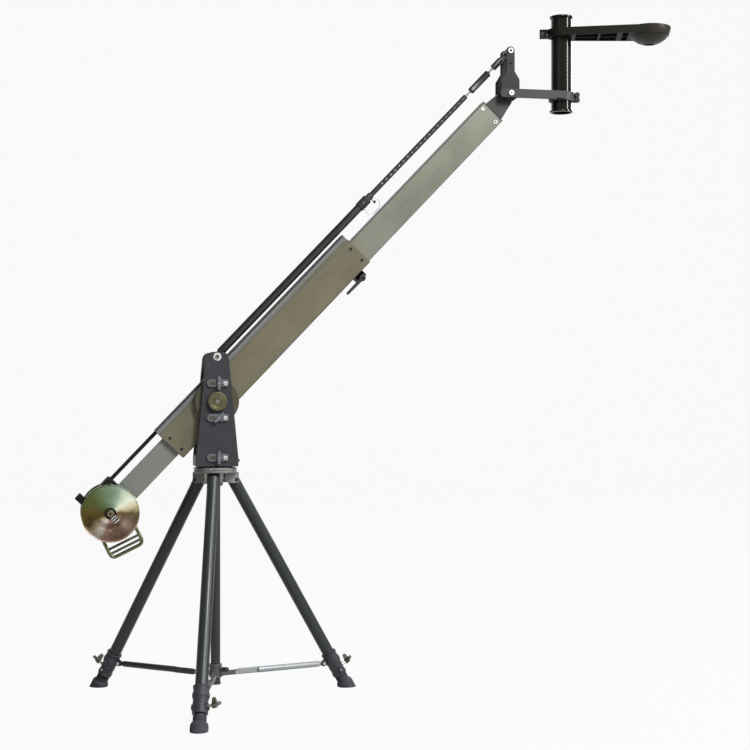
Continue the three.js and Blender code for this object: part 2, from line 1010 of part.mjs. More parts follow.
function yokePlate(side) {
  const near = side * yoke.innerHalf;
  const far = side * yokeOuter;
  const [low, high] = [Math.min(near, far), Math.max(near, far)];
  return cut(
    plateXZ(yokePlateShape(), low, high, yoke.edgeBevel),
    placed(drill('y', yoke.pivotBore, low - cutOverrun, high + cutOverrun, midFacets), 0, 0, pivotHeight),
    placed(
      drill('y', yoke.pinRadius + seatGap, low - cutOverrun, high + cutOverrun),
      0,
      0,
      linkPinHeight,
    ),
  );
}

// The block that joins the two plates, on its bearing disc and spigot
function panBaseSolid() {
  const half = yoke.innerHalf - seatGap;
  const top = yokeBottom + panBase.blockHeight;
  const brakeHole = placed(
    drill(
      'x',
      brake.stemRadius + turnGap,
      panBase.blockHalfLength - brake.length,
      panBase.blockHalfLength + cutOverrun,
    ),
    0,
    0,
    yokeBottom + panBase.blockHeight / 2,
  );
  return cut(
    join(
      block([-panBase.blockHalfLength, panBase.blockHalfLength], [-half, half], [yokeBottom - seatGap, top]),
      rod('z', panBase.bearingRadius, crownTop + seatGap, yokeBottom - seatGap, wideFacets),
      rod(
        'z',
        panBase.spigotRadius,
        crownTop - panBase.spigotDrop + slideGap,
        yokeBottom + seatGap,
        midFacets,
      ),
    ),
    brakeHole,
  );
}

function brakeKnob() {
  const start = panBase.blockHalfLength - brake.length + slideGap;
  const face = panBase.blockHalfLength + seatGap;
  return turned('x', [
    [0, start],
    [brake.stemRadius, start],
    [brake.stemRadius, face],
    [brake.radius, face],
    [brake.radius, face + brake.length / 2],
    [brake.tipRadius, face + brake.length],
    [0, face + brake.length],
  ], fineFacets);
}

function latchKeeper(height) {
  const face = -yokeOuter;
  const base = plateXZ(stadium(latch.halfLength, latch.halfHeight), face - latch.thickness, face + seatGap);
  const pocket = placed(
    plateXZ(
      stadium(latch.pocketHalf, latch.pocketHeight),
      face - latch.thickness - cutOverrun,
      face - latch.thickness + latch.pocketDepth,
    ),
    latch.pocketX,
  );
  const bolt = placed(
    rod(
      'y',
      latch.boltRadius,
      face - latch.thickness - latch.boltHeight,
      face - latch.thickness + seatGap,
      fineFacets,
    ),
    latch.boltX,
  );
  const spindleHole = placed(
    drill('y', latch.spindleRadius / 2 + turnGap, face - latch.thickness - cutOverrun, face - turnGap),
    latch.spindleX,
  );
  return placed(cut(join(cut(base, pocket), bolt), spindleHole), 0, 0, height);
}

// A wing handle on its spindle, with a small side tab towards the bolt
function latchLever() {
  const face = -yokeOuter - turnGap - seatGap;
  const back = -yokeOuter - latch.thickness - seatGap;
  const front = back - latch.wingThickness;
  const wing = placed(
    plateXZ(stadium(latch.wingLength / 2, latch.wingWidth / 2), front, back).rotateY(quarterTurn),
  );
  const tab = block(
    [0, latch.tabLength],
    [back - latch.tabThickness, back],
    [-latch.tabHeight / 2, latch.tabHeight / 2],
  );
  return join(
    wing,
    rod('y', latch.spindleRadius, front, back, fineFacets),
    rod('y', latch.spindleRadius / 2, back - seatGap, face, fineFacets),
    tab,
  );
}

// A bearing disc on the sleeve's side with its trunnion, which passes through the yoke plate
function bearingDisc(side) {
  const discInner = sleeve.width / 2 + seatGap;
  const discOuter = yoke.innerHalf - slideGap;
  const profile = [
    [0, discInner],
    [tiltDisc.radius - tiltDisc.rimBevel, discInner],
    [tiltDisc.radius, discInner + tiltDisc.rimBevel],
    [tiltDisc.radius, discOuter - tiltDisc.rimBevel],
    [tiltDisc.radius - tiltDisc.rimBevel, discOuter],
    [tiltDisc.trunnionRadius, discOuter],
    [tiltDisc.trunnionRadius, yokeOuter],
    [0, yokeOuter],
  ];
  return turned('y', profile.map(([radius, along]) => [radius, side * along]), wideFacets);
}

function pivotKnob() {
  const face = yokeOuter + seatGap;
  const front = face + tiltDisc.knobThickness;
  return turned('y', [
    [0, -face],
    [tiltDisc.knobRadius - tiltDisc.knobSkirt, -face],
    [tiltDisc.knobRadius, -face - tiltDisc.knobSkirt],
    [tiltDisc.knobRadius, -front + tiltDisc.rimBevel],
    [tiltDisc.knobRadius - tiltDisc.rimBevel, -front],
    [tiltDisc.knobRecess, -front],
    [tiltDisc.knobRecess, -front + tiltDisc.knobRecessDepth],
    [0, -front + tiltDisc.knobRecessDepth],
  ], wideFacets);
}

function pivotCap() {
  const face = yokeOuter + seatGap;
  const front = face + tiltDisc.capThickness;
  return turned('y', [
    [0, yokeOuter - seatGap],
    [tiltDisc.trunnionRadius, yokeOuter - seatGap],
    [tiltDisc.trunnionRadius, face],
    [tiltDisc.capRadius, face],
    [tiltDisc.capRadius, front - tiltDisc.rimBevel],
    [tiltDisc.capRadius - tiltDisc.rimBevel, front],
    [0, front],
  ]);
}

// The bolt that carries the link's eye, with a spacer each side of it
function yokePin() {
  const outer = yokeOuter + seatGap;
  const spacerInner = link.eyeHalf + slideGap;
  const spacerOuter = yoke.innerHalf - seatGap;
  return join(
    rod('y', yoke.pinRadius, -outer - seatGap, outer + seatGap, fineFacets),
    rod('y', headBolt.spacerRadius, spacerInner, spacerOuter, fineFacets),
    rod('y', headBolt.spacerRadius, -spacerOuter, -spacerInner, fineFacets),
    boltHead(-1, outer),
    boltHead(1, outer),
  );
}

// A round bolt head with a hexagon socket, standing out of a face at plus or minus y
function boltHead(side, face) {
  const far = side * (face + headBolt.headThickness);
  const head = rod('y', headBolt.headRadius, side * face, far, midFacets);
  const socket = rod(
    'y',
    headBolt.socket,
    far - (side * headBolt.headThickness) / 2,
    far + side * cutOverrun,
    hexagonSides,
  );
  return cut(head, socket);
}

function buildYoke(root) {
  piece(root, 'pan_base', panBaseSolid(), 'darkCasting');
  const latchHeight = (name) => yokeBottom + latchRiseShares[name] * yoke.pivotRise;
  const latchNames = Object.keys(latchRiseShares);
  const keepers = latchNames.map((name) => latchKeeper(latchHeight(name)));
  piece(root, 'yoke_plate_right', join(yokePlate(-1), ...keepers), 'yokeCoat');
  piece(root, 'yoke_plate_left', yokePlate(1), 'yokeCoat');
  piece(root, 'yoke_pin', placed(yokePin(), 0, 0, linkPinHeight), 'steel');
  const brakeAt = group(root, 0, 0, yokeBottom + panBase.blockHeight / 2);
  piece(brakeAt, 'pan_brake_knob', brakeKnob(), 'blackPlastic');
  for (const name of latchNames) {
    const place = group(root, latch.spindleX, 0, latchHeight(name));
    place.rotation.y = toRadians(latchTurns[name]);
    piece(place, `latch_lever_${name}`, latchLever(), 'darkCasting');
  }
  const pivot = group(root, 0, 0, pivotHeight);
  piece(pivot, 'pivot_knob', pivotKnob(), 'bronzeAnodised');
}

// Boom

const sleeveHalf = sleeve.height / 2;

function sleeveSolid() {
  const tube = boxTube(sleeve.rear, sleeve.front, sleeve.width, sleeve.height, sleeve.wall);
  const cap = cut(
    block(
      [sleeve.rear, sleeve.rear + sleeve.endCap],
      [sleeve.wall / 2 - sleeve.width / 2, sleeve.width / 2 - sleeve.wall / 2],
      [sleeve.wall / 2 - sleeveHalf, sleeveHalf - sleeve.wall / 2],
    ),
    block(
      [sleeve.rear - cutOverrun, sleeve.rear + sleeve.endCap + cutOverrun],
      [-rearTube.width / 2 - slideGap, rearTube.width / 2 + slideGap],
      [rearTube.rise - rearTube.height / 2 - slideGap, rearTube.rise + rearTube.height / 2 + slideGap],
    ),
  );
  return join(tube, cap);
}

// A channel along the top of the sleeve that guides the trim rod
function topRail() {
  const bottom = sleeveHalf + seatGap;
  const railHalf = sleeve.railHeight / 2;
  const rail = placed(
    boxTube(sleeve.rear, sleeve.front, sleeve.railWidth, sleeve.railHeight, sleeve.railWall),
    0,
    0,
    bottom + railHalf,
  );
  const guide = cut(
    block(
      [sleeve.rear, sleeve.rear + sleeve.endCap],
      [sleeve.railWall / 2 - sleeve.railWidth / 2, sleeve.railWidth / 2 - sleeve.railWall / 2],
      [bottom + sleeve.railWall / 2, bottom + sleeve.railHeight - sleeve.railWall / 2],
    ),
    placed(
      rod(
        'x',
        trimRod.radius + slideGap,
        sleeve.rear - cutOverrun,
        sleeve.rear + sleeve.endCap + cutOverrun,
        fineFacets,
      ),
      0,
      0,
      trimRod.rise,
    ),
  );
  return join(rail, guide);
}

function clampBlock() {
  const top = seatGap - sleeveHalf;
  const half = sleeveClamp.halfWidth;
  const body = block([sleeveClamp.rear, sleeveClamp.front], [-half, half], [sleeveClamp.bottom, top]);
  const slot = block(
    [sleeveClamp.rear - cutOverrun, sleeveClamp.front + cutOverrun],
    [-sleeveClamp.slot / 2, sleeveClamp.slot / 2],
    [sleeveClamp.bottom - cutOverrun, top - sleeveClamp.washer],
  );
  const hole = placed(
    drill('y', sleeveClamp.screwRadius + turnGap, -half - cutOverrun, 0),
    sleeveClamp.screwX,
    0,
    sleeveClamp.screwZ,
  );
  return cut(body, slot, hole);
}

// A clamping lever: a round boss on its screw, with a tapered arm lying along the boom
function clampLever() {
  const inner = -sleeveClamp.halfWidth - seatGap;
  const outer = inner - sleeveClamp.leverBossLength;
  const armNear = outer + sleeveClamp.leverThickness;
  const arm = new THREE.Shape();
  arm.moveTo(0, sleeveClamp.leverRoot);
  arm.lineTo(-sleeveClamp.leverReach, sleeveClamp.leverTip);
  arm.absarc(-sleeveClamp.leverReach, 0, sleeveClamp.leverTip, quarterTurn, 3 * quarterTurn);
  arm.lineTo(0, -sleeveClamp.leverRoot);
  return join(
    rod('y', sleeveClamp.leverBoss, outer, inner, midFacets),
    rod('y', sleeveClamp.screwRadius, inner - seatGap, -sleeveClamp.slot, fineFacets),
    plateXZ(arm, outer, armNear),
  );
}

function frontTubeSolid() {
  const end = frontTube.frontEnd;
  const tube = boxTube(frontTube.rearEnd, end, frontTube.width, frontTube.height, frontTube.wall);
  const half = frontTube.width / 2;
  const rise = frontTube.height / 2;
  const grow = frontTube.collarGrow;
  const band = cut(
    block([end - frontTube.capThickness, end], [-half - grow, half + grow], [-rise - grow, rise + grow]),
    block(
      [end - frontTube.capThickness - cutOverrun, end + cutOverrun],
      [frontTube.wall - half, half - frontTube.wall],
      [frontTube.wall - rise, rise - frontTube.wall],
    ),
  );
  return join(tube, band);
}

// The fork-shaped end fitting: a plug inside the tube, a tapered body and the eye for the head's pivot bolt
function tipBracket() {
  const start = frontTube.frontEnd + seatGap;
  const shape = new THREE.Shape();
  shape.moveTo(start, tip.baseBottom);
  shape.lineTo(boomLength - tip.eyeRadius / 2, -tip.eyeRadius);
  shape.absarc(boomLength, 0, tip.eyeRadius, toRadians(tip.eyeFromTurn), toRadians(tip.eyeToTurn));
  shape.lineTo(boomLength - tip.neckBack, tip.neckTop);
  shape.lineTo(start, tip.baseTop);
  const bossHalf = headPlate.inner - slideGap;
  const plugHalf = frontTube.width / 2 - frontTube.wall - seatGap;
  const plugRise = frontTube.height / 2 - frontTube.wall - seatGap;
  return cut(
    join(
      plateXZ(shape, -tip.halfWidth, tip.halfWidth),
      placed(rod('y', tip.bossRadius, -bossHalf, bossHalf, midFacets), boomLength),
      block([start - tip.plugDepth, start + seatGap], [-plugHalf, plugHalf], [-plugRise, plugRise]),
    ),
    placed(drill('y', tip.bolt + turnGap, -bossHalf - cutOverrun, bossHalf + cutOverrun), boomLength),
    block(
      [start - tip.plugDepth - cutOverrun, start - frontTube.capThickness],
      [frontTube.wall - plugHalf, plugHalf - frontTube.wall],
      [frontTube.wall - plugRise, plugRise - frontTube.wall],
    ),
  );
}

function ballastBracket() {
  const shape = outline([
    [ballast.front, ballast.bottom],
    [ballast.front, ballast.top],
    [ballast.postFront, ballast.top],
    [ballast.back, ballast.top],
    [ballast.back, ballast.bottom],
  ]);
  const pocketHalf = rearTube.width / 2 + seatGap;
  const pocketRise = rearTube.height / 2 + seatGap;
  const post = block(
    [ballast.back, ballast.postFront],
    [-ballast.postHalf, ballast.postHalf],
    [ballast.top - seatGap, ballast.postTop],
  );
  return cut(
    join(plateXZ(shape, -ballast.halfWidth, ballast.halfWidth, yoke.edgeBevel), post),
    block(
      [rearTube.rearEnd - seatGap, ballast.front + cutOverrun],
      [-pocketHalf, pocketHalf],
      [rearTube.rise - pocketRise, rearTube.rise + pocketRise],
    ),
    placed(
      drill(
        'y',
        ballast.barRadius + seatGap,
        -ballast.halfWidth - cutOverrun,
        ballast.halfWidth + cutOverrun,
        midFacets,
      ),
      ballast.axis,
    ),
  );
}

const discInner = ballast.halfWidth + handle.eyeThickness + 2 * seatGap;
const discOuter = discInner + ballast.discThickness;

// A turned steel disc with a shallow dish round its hub
function weightDisc(side) {
  const [near, far] = [side * discInner, side * discOuter];
  const dishFloor = far - side * ballast.discDishDepth;
  return turned('y', [
    [ballast.discBore, near],
    [ballast.discRadius - ballast.discEdge, near],
    [ballast.discRadius, near + side * ballast.discEdge],
    [ballast.discRadius, far - side * ballast.discEdge],
    [ballast.discRadius - ballast.discEdge, far],
    [ballast.discDish, far - side * ballast.discDishDepth / 2],
    [ballast.discBore, dishFloor],
    [ballast.discBore, near],
  ], discFacets);
}

function ballastBar() {
  const end = discOuter + ballast.hubThickness + ballast.barProud;
  const seat = discOuter - ballast.discDishDepth + seatGap;
  const collars = [-1, 1].map((side) => {
    const profile = [
      [ballast.barRadius - seatGap, side * seat],
      [ballast.hubRadius, side * seat],
      [ballast.hubRadius, side * (seat + ballast.hubThickness)],
      [ballast.barRadius - seatGap, side * (seat + ballast.hubThickness)],
      [ballast.barRadius - seatGap, side * seat],
    ];
    return turned('y', profile);
  });
  const clip = ballastClip(seat + ballast.hubThickness);
  return join(rod('y', ballast.barRadius, -end, end), ...collars, clip);
}

// The ribbed lock plate on the near hub
function ballastClip(face) {
  const near = -face - ballast.clipThickness;
  const half = ballast.clipWidth / 2;
  const plate = block([0, ballast.clipLength], [near, -face + seatGap], [-half, half]);
  const grooves = clipGrooveShares.map((share) => {
    const middle = ballast.clipLength * share;
    return block(
      [middle - ballast.clipGroove / 2, middle + ballast.clipGroove / 2],
      [near - cutOverrun, near + ballast.clipThickness / 2],
      [-half - cutOverrun, half + cutOverrun],
    );
  });
  return cut(plate, ...grooves).rotateY(quarterTurn - toRadians(boomElevation));
}

// A U-shaped hand rail of round rod with two rungs, hung from an eye each side of the bracket
function rearHandle() {
  const path = new THREE.CurvePath();
  const side = handle.halfWidth;
  const low = -handle.reach;
  const bend = handle.cornerRadius;
  const start = -handle.eyeBridge;
  const point = (x, z) => new THREE.Vector3(x, 0, z);
  path.add(new THREE.LineCurve3(point(-side, start), point(-side, low + bend)));
  path.add(new THREE.QuadraticBezierCurve3(
    point(-side, low + bend),
    point(-side, low),
    point(bend - side, low),
  ));
  path.add(new THREE.LineCurve3(point(bend - side, low), point(side - bend, low)));
  path.add(new THREE.QuadraticBezierCurve3(
    point(side - bend, low),
    point(side, low),
    point(side, low + bend),
  ));
  path.add(new THREE.LineCurve3(point(side, low + bend), point(side, start)));
  const plane = -(ballast.halfWidth + seatGap + handle.eyeThickness / 2);
  const loop = placed(bentRod(path, handle.rod, fineFacets, handle.steps), 0, plane, 0);
  const rungs = Array.from({ length: handle.rungs }, (_, step) => placed(
    rod('x', handle.rungRod, -side, side, fineFacets),
    0,
    plane,
    low + (step + 1) * handle.rungStep,
  ));
  const bridge = placed(rod('x', handle.rod, -side, side, fineFacets), 0, plane, start);
  const eye = cut(
    join(
      rod('y', handle.eyeRadius, plane - handle.eyeThickness / 2, plane + handle.eyeThickness / 2),
      block(
        [-handle.rod, handle.rod],
        [plane - handle.eyeThickness / 2, plane + handle.eyeThickness / 2],
        [start, 0],
      ),
    ),
    drill(
      'y',
      ballast.barRadius + turnGap,
      plane - handle.eyeThickness,
      plane + handle.eyeThickness,
      midFacets,
    ),
  );
  return join(loop, ...rungs, bridge, eye);
}

function buildBoom(root) {
  const boom = group(root, 0, 0, pivotHeight);
  boom.rotation.y = -toRadians(boomElevation);
  piece(boom, 'boom_sleeve', join(sleeveSolid(), clampBlock()), 'bronzeAnodised');
  piece(boom, 'top_rail', topRail(), 'greyAnodised');
  piece(boom, 'bearing_disc_right', bearingDisc(-1), 'bronzeAnodised');
  piece(boom, 'bearing_disc_left', join(bearingDisc(1), pivotCap()), 'bronzeAnodised');
  const leverAt = group(boom, sleeveClamp.screwX, 0, sleeveClamp.screwZ);
  piece(leverAt, 'clamp_lever', clampLever(), 'blackPlastic');
  piece(boom, 'front_tube', frontTubeSolid(), 'paleAnodised');
  piece(boom, 'tip_bracket', tipBracket(), 'greyPaint');
  const rear = boxTube(
    rearTube.rearEnd,
    rearTube.frontEnd,
    rearTube.width,
    rearTube.height,
    rearTube.wall,
    rearTube.rise,
  );
  piece(boom, 'rear_tube', rear, 'greyAnodised');
  const trim = rod('x', trimRod.radius, rearTube.rearEnd, trimRod.frontEnd, fineFacets);
  piece(boom, 'ballast_bracket', join(ballastBracket(), placed(trim, 0, 0, trimRod.rise)), 'blackAnodised');
  const barAt = group(boom, ballast.axis, 0, 0);
  piece(barAt, 'ballast_bar', ballastBar(), 'steel');
  piece(barAt, 'weight_disc_right', weightDisc(-1), 'zincPlate');
  piece(barAt, 'weight_disc_left', weightDisc(1), 'zincPlate');
  const handleAt = group(barAt);
  handleAt.rotation.y = toRadians(boomElevation - handleSwing);
  piece(handleAt, 'rear_handle', rearHandle(), 'oliveZinc');
}

// Levelling link

function linkTube() {
  const eye = rod('y', link.eyeRadius, -link.eyeHalf, link.eyeHalf);
  const neck = rod('x', link.eyeHalf, 0, link.tubeStart + link.eyeRadius, midFacets);
  const tube = pipe(
    'x',
    link.tubeRadius,
    link.tubeRadius - link.tubeWall,
    link.tubeStart,
    link.collarStart - seatGap,
  );
  const plug = rod('x', link.tubeRadius - link.tubeWall / 2, link.tubeStart, link.tubeStart + link.eyeRadius);
  const hole = drill('y', link.pinRadius + turnGap, -link.eyeHalf - cutOverrun, link.eyeHalf + cutOverrun);
  return cut(join(tube, plug, eye, neck), hole);
}

// The collar at the tube's mouth: it guides the pierced rod and holds the index plunger in its neck
function linkCollar() {
  const bore = link.rodRadius + slideGap;
  const body = turned('x', [
    [bore, link.collarStart],
    [link.collarRadius - edgeChamfer, link.collarStart],
    [link.collarRadius, link.collarStart + edgeChamfer],
    [link.collarRadius, link.collarEnd - edgeChamfer],
    [link.collarRadius - edgeChamfer, link.collarEnd],
    [link.neckRadius, link.collarEnd],
    [link.neckRadius, link.neckEnd],
    [bore, link.neckEnd],
    [bore, link.collarStart],
  ]);
  const plungerHole = placed(
    drill('z', plunger.shankRadius + turnGap, -link.neckRadius - cutOverrun, -bore + seatGap),
    plunger.at,
  );
  const anchorTop = -link.collarRadius + edgeChamfer;
  const anchor = placed(
    rod('z', lanyard.anchorRadius, anchorTop - lanyard.anchorLength, anchorTop, fineFacets),
    lanyard.anchorAt,
  );
  return join(cut(body, plungerHole), anchor);
}

function plungerSolid() {
  const tipZ = -link.rodRadius - slideGap;
  const gripTop = -link.neckRadius - seatGap;
  const gripEnd = gripTop - plunger.stickOut - plunger.gripLength;
  return placed(turned('z', [
    [0, tipZ],
    [plunger.shankRadius, tipZ],
    [plunger.shankRadius, gripTop - plunger.stickOut],
    [plunger.gripRadius, gripTop - plunger.stickOut],
    [plunger.gripRadius, gripEnd],
    [0, gripEnd],
  ], fineFacets), plunger.at);
}

// The thin wire that ties the plunger's grip to the collar: it leans to the far side
// and hangs down to the boom there
function lanyardSolid() {
  const points = lanyardRoute.map(([x, y, z]) => new THREE.Vector3(x, y, z));
  points[0].x = lanyard.anchorAt;
  points[0].z = -link.collarRadius + edgeChamfer - lanyard.anchorLength - seatGap;
  const last = points[points.length - 1];
  last.x = plunger.at + plunger.gripRadius + seatGap;
  last.z = -link.neckRadius - seatGap - plunger.stickOut - lanyard.seat;
  const path = new THREE.CatmullRomCurve3(points);
  return bentRod(path, lanyard.radius, lanyard.sides, lanyard.steps);
}

// A bar pierced across at an even pitch, so that the link can be pinned at each boom length
function piercedRod() {
  const bar = rod('x', link.rodRadius, link.rodStart, link.rodEnd, midFacets);
  const holes = [];
  for (let i = 0; i < link.holesShown; i += 1) {
    const at = link.rodEnd - link.holeMargin - i * link.holePitch;
    const hole = rod(
      'y',
      link.holeRadius,
      -link.rodRadius - cutOverrun,
      link.rodRadius + cutOverrun,
      fineFacets,
    );
    holes.push(placed(hole, at));
  }
  const stud = rod('x', link.studRadius, link.rodEnd - seatGap, link.nutStart + link.studEngaged, fineFacets);
  return join(cut(bar, ...holes), stud);
}

function turnbuckle() {
  const bore = link.studRadius + slideGap;
  return turned('x', [
    [bore, link.nutStart],
    [link.nutRadius - edgeChamfer, link.nutStart],
    [link.nutRadius, link.nutStart + edgeChamfer],
    [link.nutRadius, link.nutEnd - edgeChamfer],
    [link.nutRadius - edgeChamfer, link.nutEnd],
    [bore, link.nutEnd],
    [bore, link.nutStart],
  ], fineFacets);
}

function rodEnd() {
  const hole = drill(
    'y',
    headBolt.radius + turnGap,
    -link.rodEyeHalf - cutOverrun,
    link.rodEyeHalf + cutOverrun,
  );
  return cut(
    join(
      rod('x', link.studRadius, link.nutEnd - link.studEngaged, link.rodEndStart + seatGap, fineFacets),
      rod('x', link.rodEndRadius, link.rodEndStart, link.rodEndNeck, fineFacets),
      rod('x', link.rodEndStem, link.rodEndNeck - seatGap, boomLength, fineFacets),
      placed(rod('y', link.rodEyeRadius, -link.rodEyeHalf, link.rodEyeHalf), boomLength),
    ),
    placed(hole, boomLength),
  );
}

function buildLink(root) {
  const place = group(root, 0, 0, linkPinHeight);
  place.rotation.y = -toRadians(boomElevation);
  piece(place, 'link_tube', linkTube(), 'blackAnodised');
  piece(place, 'link_collar', linkCollar(), 'blackPlastic');
  piece(place, 'index_plunger', plungerSolid(), 'blackPlastic');
  piece(place, 'plunger_lanyard', lanyardSolid(), 'steel');
  piece(place, 'pierced_rod', piercedRod(), 'blackAnodised');
  piece(place, 'turnbuckle', turnbuckle(), 'blackAnodised');
  piece(place, 'rod_end', rodEnd(), 'blackAnodised');
}

// Camera head

const headOuter = headPlate.inner + headPlate.thickness;
const armOuter = headOuter + seatGap + lowerArm.bar;

function headPlateShape() {
  const shape = new THREE.Shape();
  const half = headPlate.neckHalf;
  const top = yoke.linkPinRise;
  shape.moveTo(-headPlate.footHalf, headPlate.footBottom);
  shape.lineTo(headPlate.footHalf, headPlate.footBottom);
  shape.lineTo(headPlate.bodyHalf, headPlate.bodyBottom);
  shape.lineTo(headPlate.bodyHalf, headPlate.shoulder);
  shape.lineTo(half, headPlate.neckBottom);
  shape.absarc(0, top, half, 0, Math.PI);
  shape.lineTo(-half, headPlate.neckBottom);
  shape.lineTo(-headPlate.bodyHalf, headPlate.shoulder);
  shape.lineTo(-headPlate.bodyHalf, headPlate.bodyBottom);
  return shape;
}

function headSidePlate(side) {
  const near = side * headPlate.inner;
  const far = side * headOuter;
  const [low, high] = [Math.min(near, far), Math.max(near, far)];
  const boltHoles = [0, yoke.linkPinRise].map((height) => placed(
    drill('y', headBolt.radius + seatGap, low - cutOverrun, high + cutOverrun),
    0,
    0,
    height,
  ));
  const plate = cut(plateXZ(headPlateShape(), low, high, headPlate.edgeBevel), ...boltHoles);
  if (side > 0) return plate;
  const blind = drill('y', headPlate.holeRadius, low - cutOverrun, low + headPlate.holeDepth);
  return cut(plate, placed(blind, 0, 0, headPlate.holeHeight));
}

// The bolt the whole head hangs on: it also carries the lower arm, on the near side
function headPivotBolt() {
  const near = -armOuter - seatGap;
  const far = headOuter + seatGap;
  return join(
    rod('y', headBolt.radius, near - seatGap, far + seatGap, fineFacets),
    boltHead(-1, -near),
    boltHead(1, far),
  );
}

// The bolt through the rod end's eye, with a spacer each side of it
function headLinkBolt() {
  const outer = headOuter + seatGap;
  const spacerInner = link.rodEyeHalf + slideGap;
  const spacerOuter = headPlate.inner - seatGap;
  return join(
    rod('y', headBolt.radius, -outer - seatGap, outer + seatGap, fineFacets),
    rod('y', headBolt.spacerRadius, spacerInner, spacerOuter, fineFacets),
    rod('y', headBolt.spacerRadius, -spacerOuter, -spacerInner, fineFacets),
    boltHead(-1, outer),
    boltHead(1, outer),
  );
}

// A bar outside the near head plate that ends in a split ring for the riser
function lowerArmSolid() {
  const h = lowerArm.halfHeight;
  const inner = headOuter + seatGap;
  const ringRadius = riser.radius + lowerArm.ringWall;
  const bar = block([lowerArm.rear, lowerArm.riserX], [-armOuter, -inner], [-h, h]);
  const web = block(
    [lowerArm.riserX - ringRadius, lowerArm.riserX],
    [-inner - seatGap, -riser.radius / 2],
    [-h, h],
  );
  const ring = placed(rod('z', ringRadius, -h, h, wideFacets), lowerArm.riserX);
  const earStart = lowerArm.riserX + riser.radius;
  const earEnd = lowerArm.riserX + ringRadius + lowerArm.earLength;
  const ear = block([earStart, earEnd], [-lowerArm.earHalf, lowerArm.earHalf], [-h, h]);
  return cut(
    join(bar, web, ring, ear),
    placed(drill('z', riser.radius + seatGap, -h - cutOverrun, h + cutOverrun, wideFacets), lowerArm.riserX),
    block(
      [earStart - cutOverrun, earEnd + cutOverrun],
      [-lowerArm.earSlot / 2, lowerArm.earSlot / 2],
      [-h - cutOverrun, h + cutOverrun],
    ),
    drill('y', headBolt.radius + seatGap, -armOuter - cutOverrun, -inner + cutOverrun),
  );
}

// Two knurled nuts one above the other on the split ear, each on its own screw
function lowerClampNuts() {
  const near = seatGap - lowerArm.earHalf;
  const x = lowerArm.riserX + riser.radius + lowerArm.ringWall + lowerArm.earLength / 2;
  return [-1, 1].map((side) => {
    const nut = rod('y', lowerArm.nutRadius, near - lowerArm.nutThickness, near, fineFacets);
    return placed(nut, x, 0, side * lowerArm.nutRise);
  });
}

// A tube with a flange at each end
function riserTube() {
  const bore = riser.radius - riser.wall;
  const bevel = riser.flangeBevel;
  const lowerTop = riser.bottom + riser.flangeThickness;
  const upperBottom = riser.top - riser.flangeThickness;
  return placed(turned('z', [
    [bore, riser.bottom],
    [riser.flangeRadius - bevel, riser.bottom],
    [riser.flangeRadius, riser.bottom + bevel],
    [riser.flangeRadius, lowerTop - bevel],
    [riser.flangeRadius - bevel, lowerTop],
    [riser.radius, lowerTop],
    [riser.radius, upperBottom],
    [riser.flangeRadius - bevel, upperBottom],
    [riser.flangeRadius, upperBottom + bevel],
    [riser.flangeRadius, riser.top - bevel],
    [riser.flangeRadius - bevel, riser.top],
    [bore, riser.top],
    [bore, riser.bottom],
  ], wideFacets), lowerArm.riserX);
}

// Points down a quarter of an ellipse, from its rim towards the axis
function quarterEllipse(radius, depth, top, turns) {
  return turns.map((turn) => [radius * Math.cos(toRadians(turn)), top - depth * Math.sin(toRadians(turn))]);
}

// An upturned tray: a top plate with side walls, a middle rib and cross ribs,
// with a ring round the riser at one end and at the other a hollow dome that takes the bowl
function cameraArmSolid() {
  const low = -cameraArm.height / 2;
  const high = cameraArm.height / 2;
  const halfAt = (x) => cameraArm.rootHalf + (cameraArm.endHalf - cameraArm.rootHalf) * (x / cameraArm.bowlX);
  const plan = (from, to, inset) => outline([
    [from, inset - halfAt(from)],
    [to, inset - halfAt(to)],
    [to, halfAt(to) - inset],
    [from, halfAt(from) - inset],
  ]);
  const hollowFrom = riser.radius + cameraArm.bridge;
  const hollowTo = cameraArm.bowlX - cameraArm.domeRadius;
  const hollow = cut(
    plateXY(plan(hollowFrom, hollowTo, cameraArm.wall), low - cutOverrun, high - cameraArm.topPlate),
    block(
      [hollowFrom - cutOverrun, hollowTo + cutOverrun],
      [-cameraArm.midRib / 2, cameraArm.midRib / 2],
      [low, high],
    ),
    ...crossRibs.map(({ share, width }) => {
      const at = hollowFrom + share * (hollowTo - hollowFrom);
      return block([at - width / 2, at + width / 2], [-cameraArm.endHalf, cameraArm.endHalf], [low, high]);
    }),
  );
  const dome = (inset, top) => placed(turned('z', [
    [0, high + top],
    [cameraArm.domeRadius - inset, high + top],
    ...quarterEllipse(
      cameraArm.domeRadius - inset,
      cameraArm.domeDepth - inset,
      high,
      domeTurns,
    ).slice(top > 0 ? 0 : 1),
  ], wideFacets), cameraArm.bowlX);
  const ear = block([-cameraArm.earReach, 0], [-cameraArm.earHalf, cameraArm.earHalf], [low, high]);
  const body = plateXY(plan(0, cameraArm.bowlX, 0), low, high);
  const solid = join(body, dome(0, 0), rod('z', cameraArm.rootHalf, low, high, wideFacets), ear);
  return cut(
    solid,
    hollow,
    dome(cameraArm.domeWall, cutOverrun),
    drill('z', riser.radius + turnGap, low - cutOverrun, high + cutOverrun, wideFacets),
    placed(rod('z', bowl.holeRadius, -cameraArm.domeDepth, high), cameraArm.bowlX),
    block(
      [-cameraArm.earReach - cutOverrun, 0],
      [-cameraArm.earSlot / 2, cameraArm.earSlot / 2],
      [low - cutOverrun, high + cutOverrun],
    ),
    placed(
      drill('y', cameraArm.knobStem + turnGap, -cameraArm.earHalf - cutOverrun, 0),
      cameraArm.knobX,
      0,
      -cameraArm.knobDrop,
    ),
  );
}

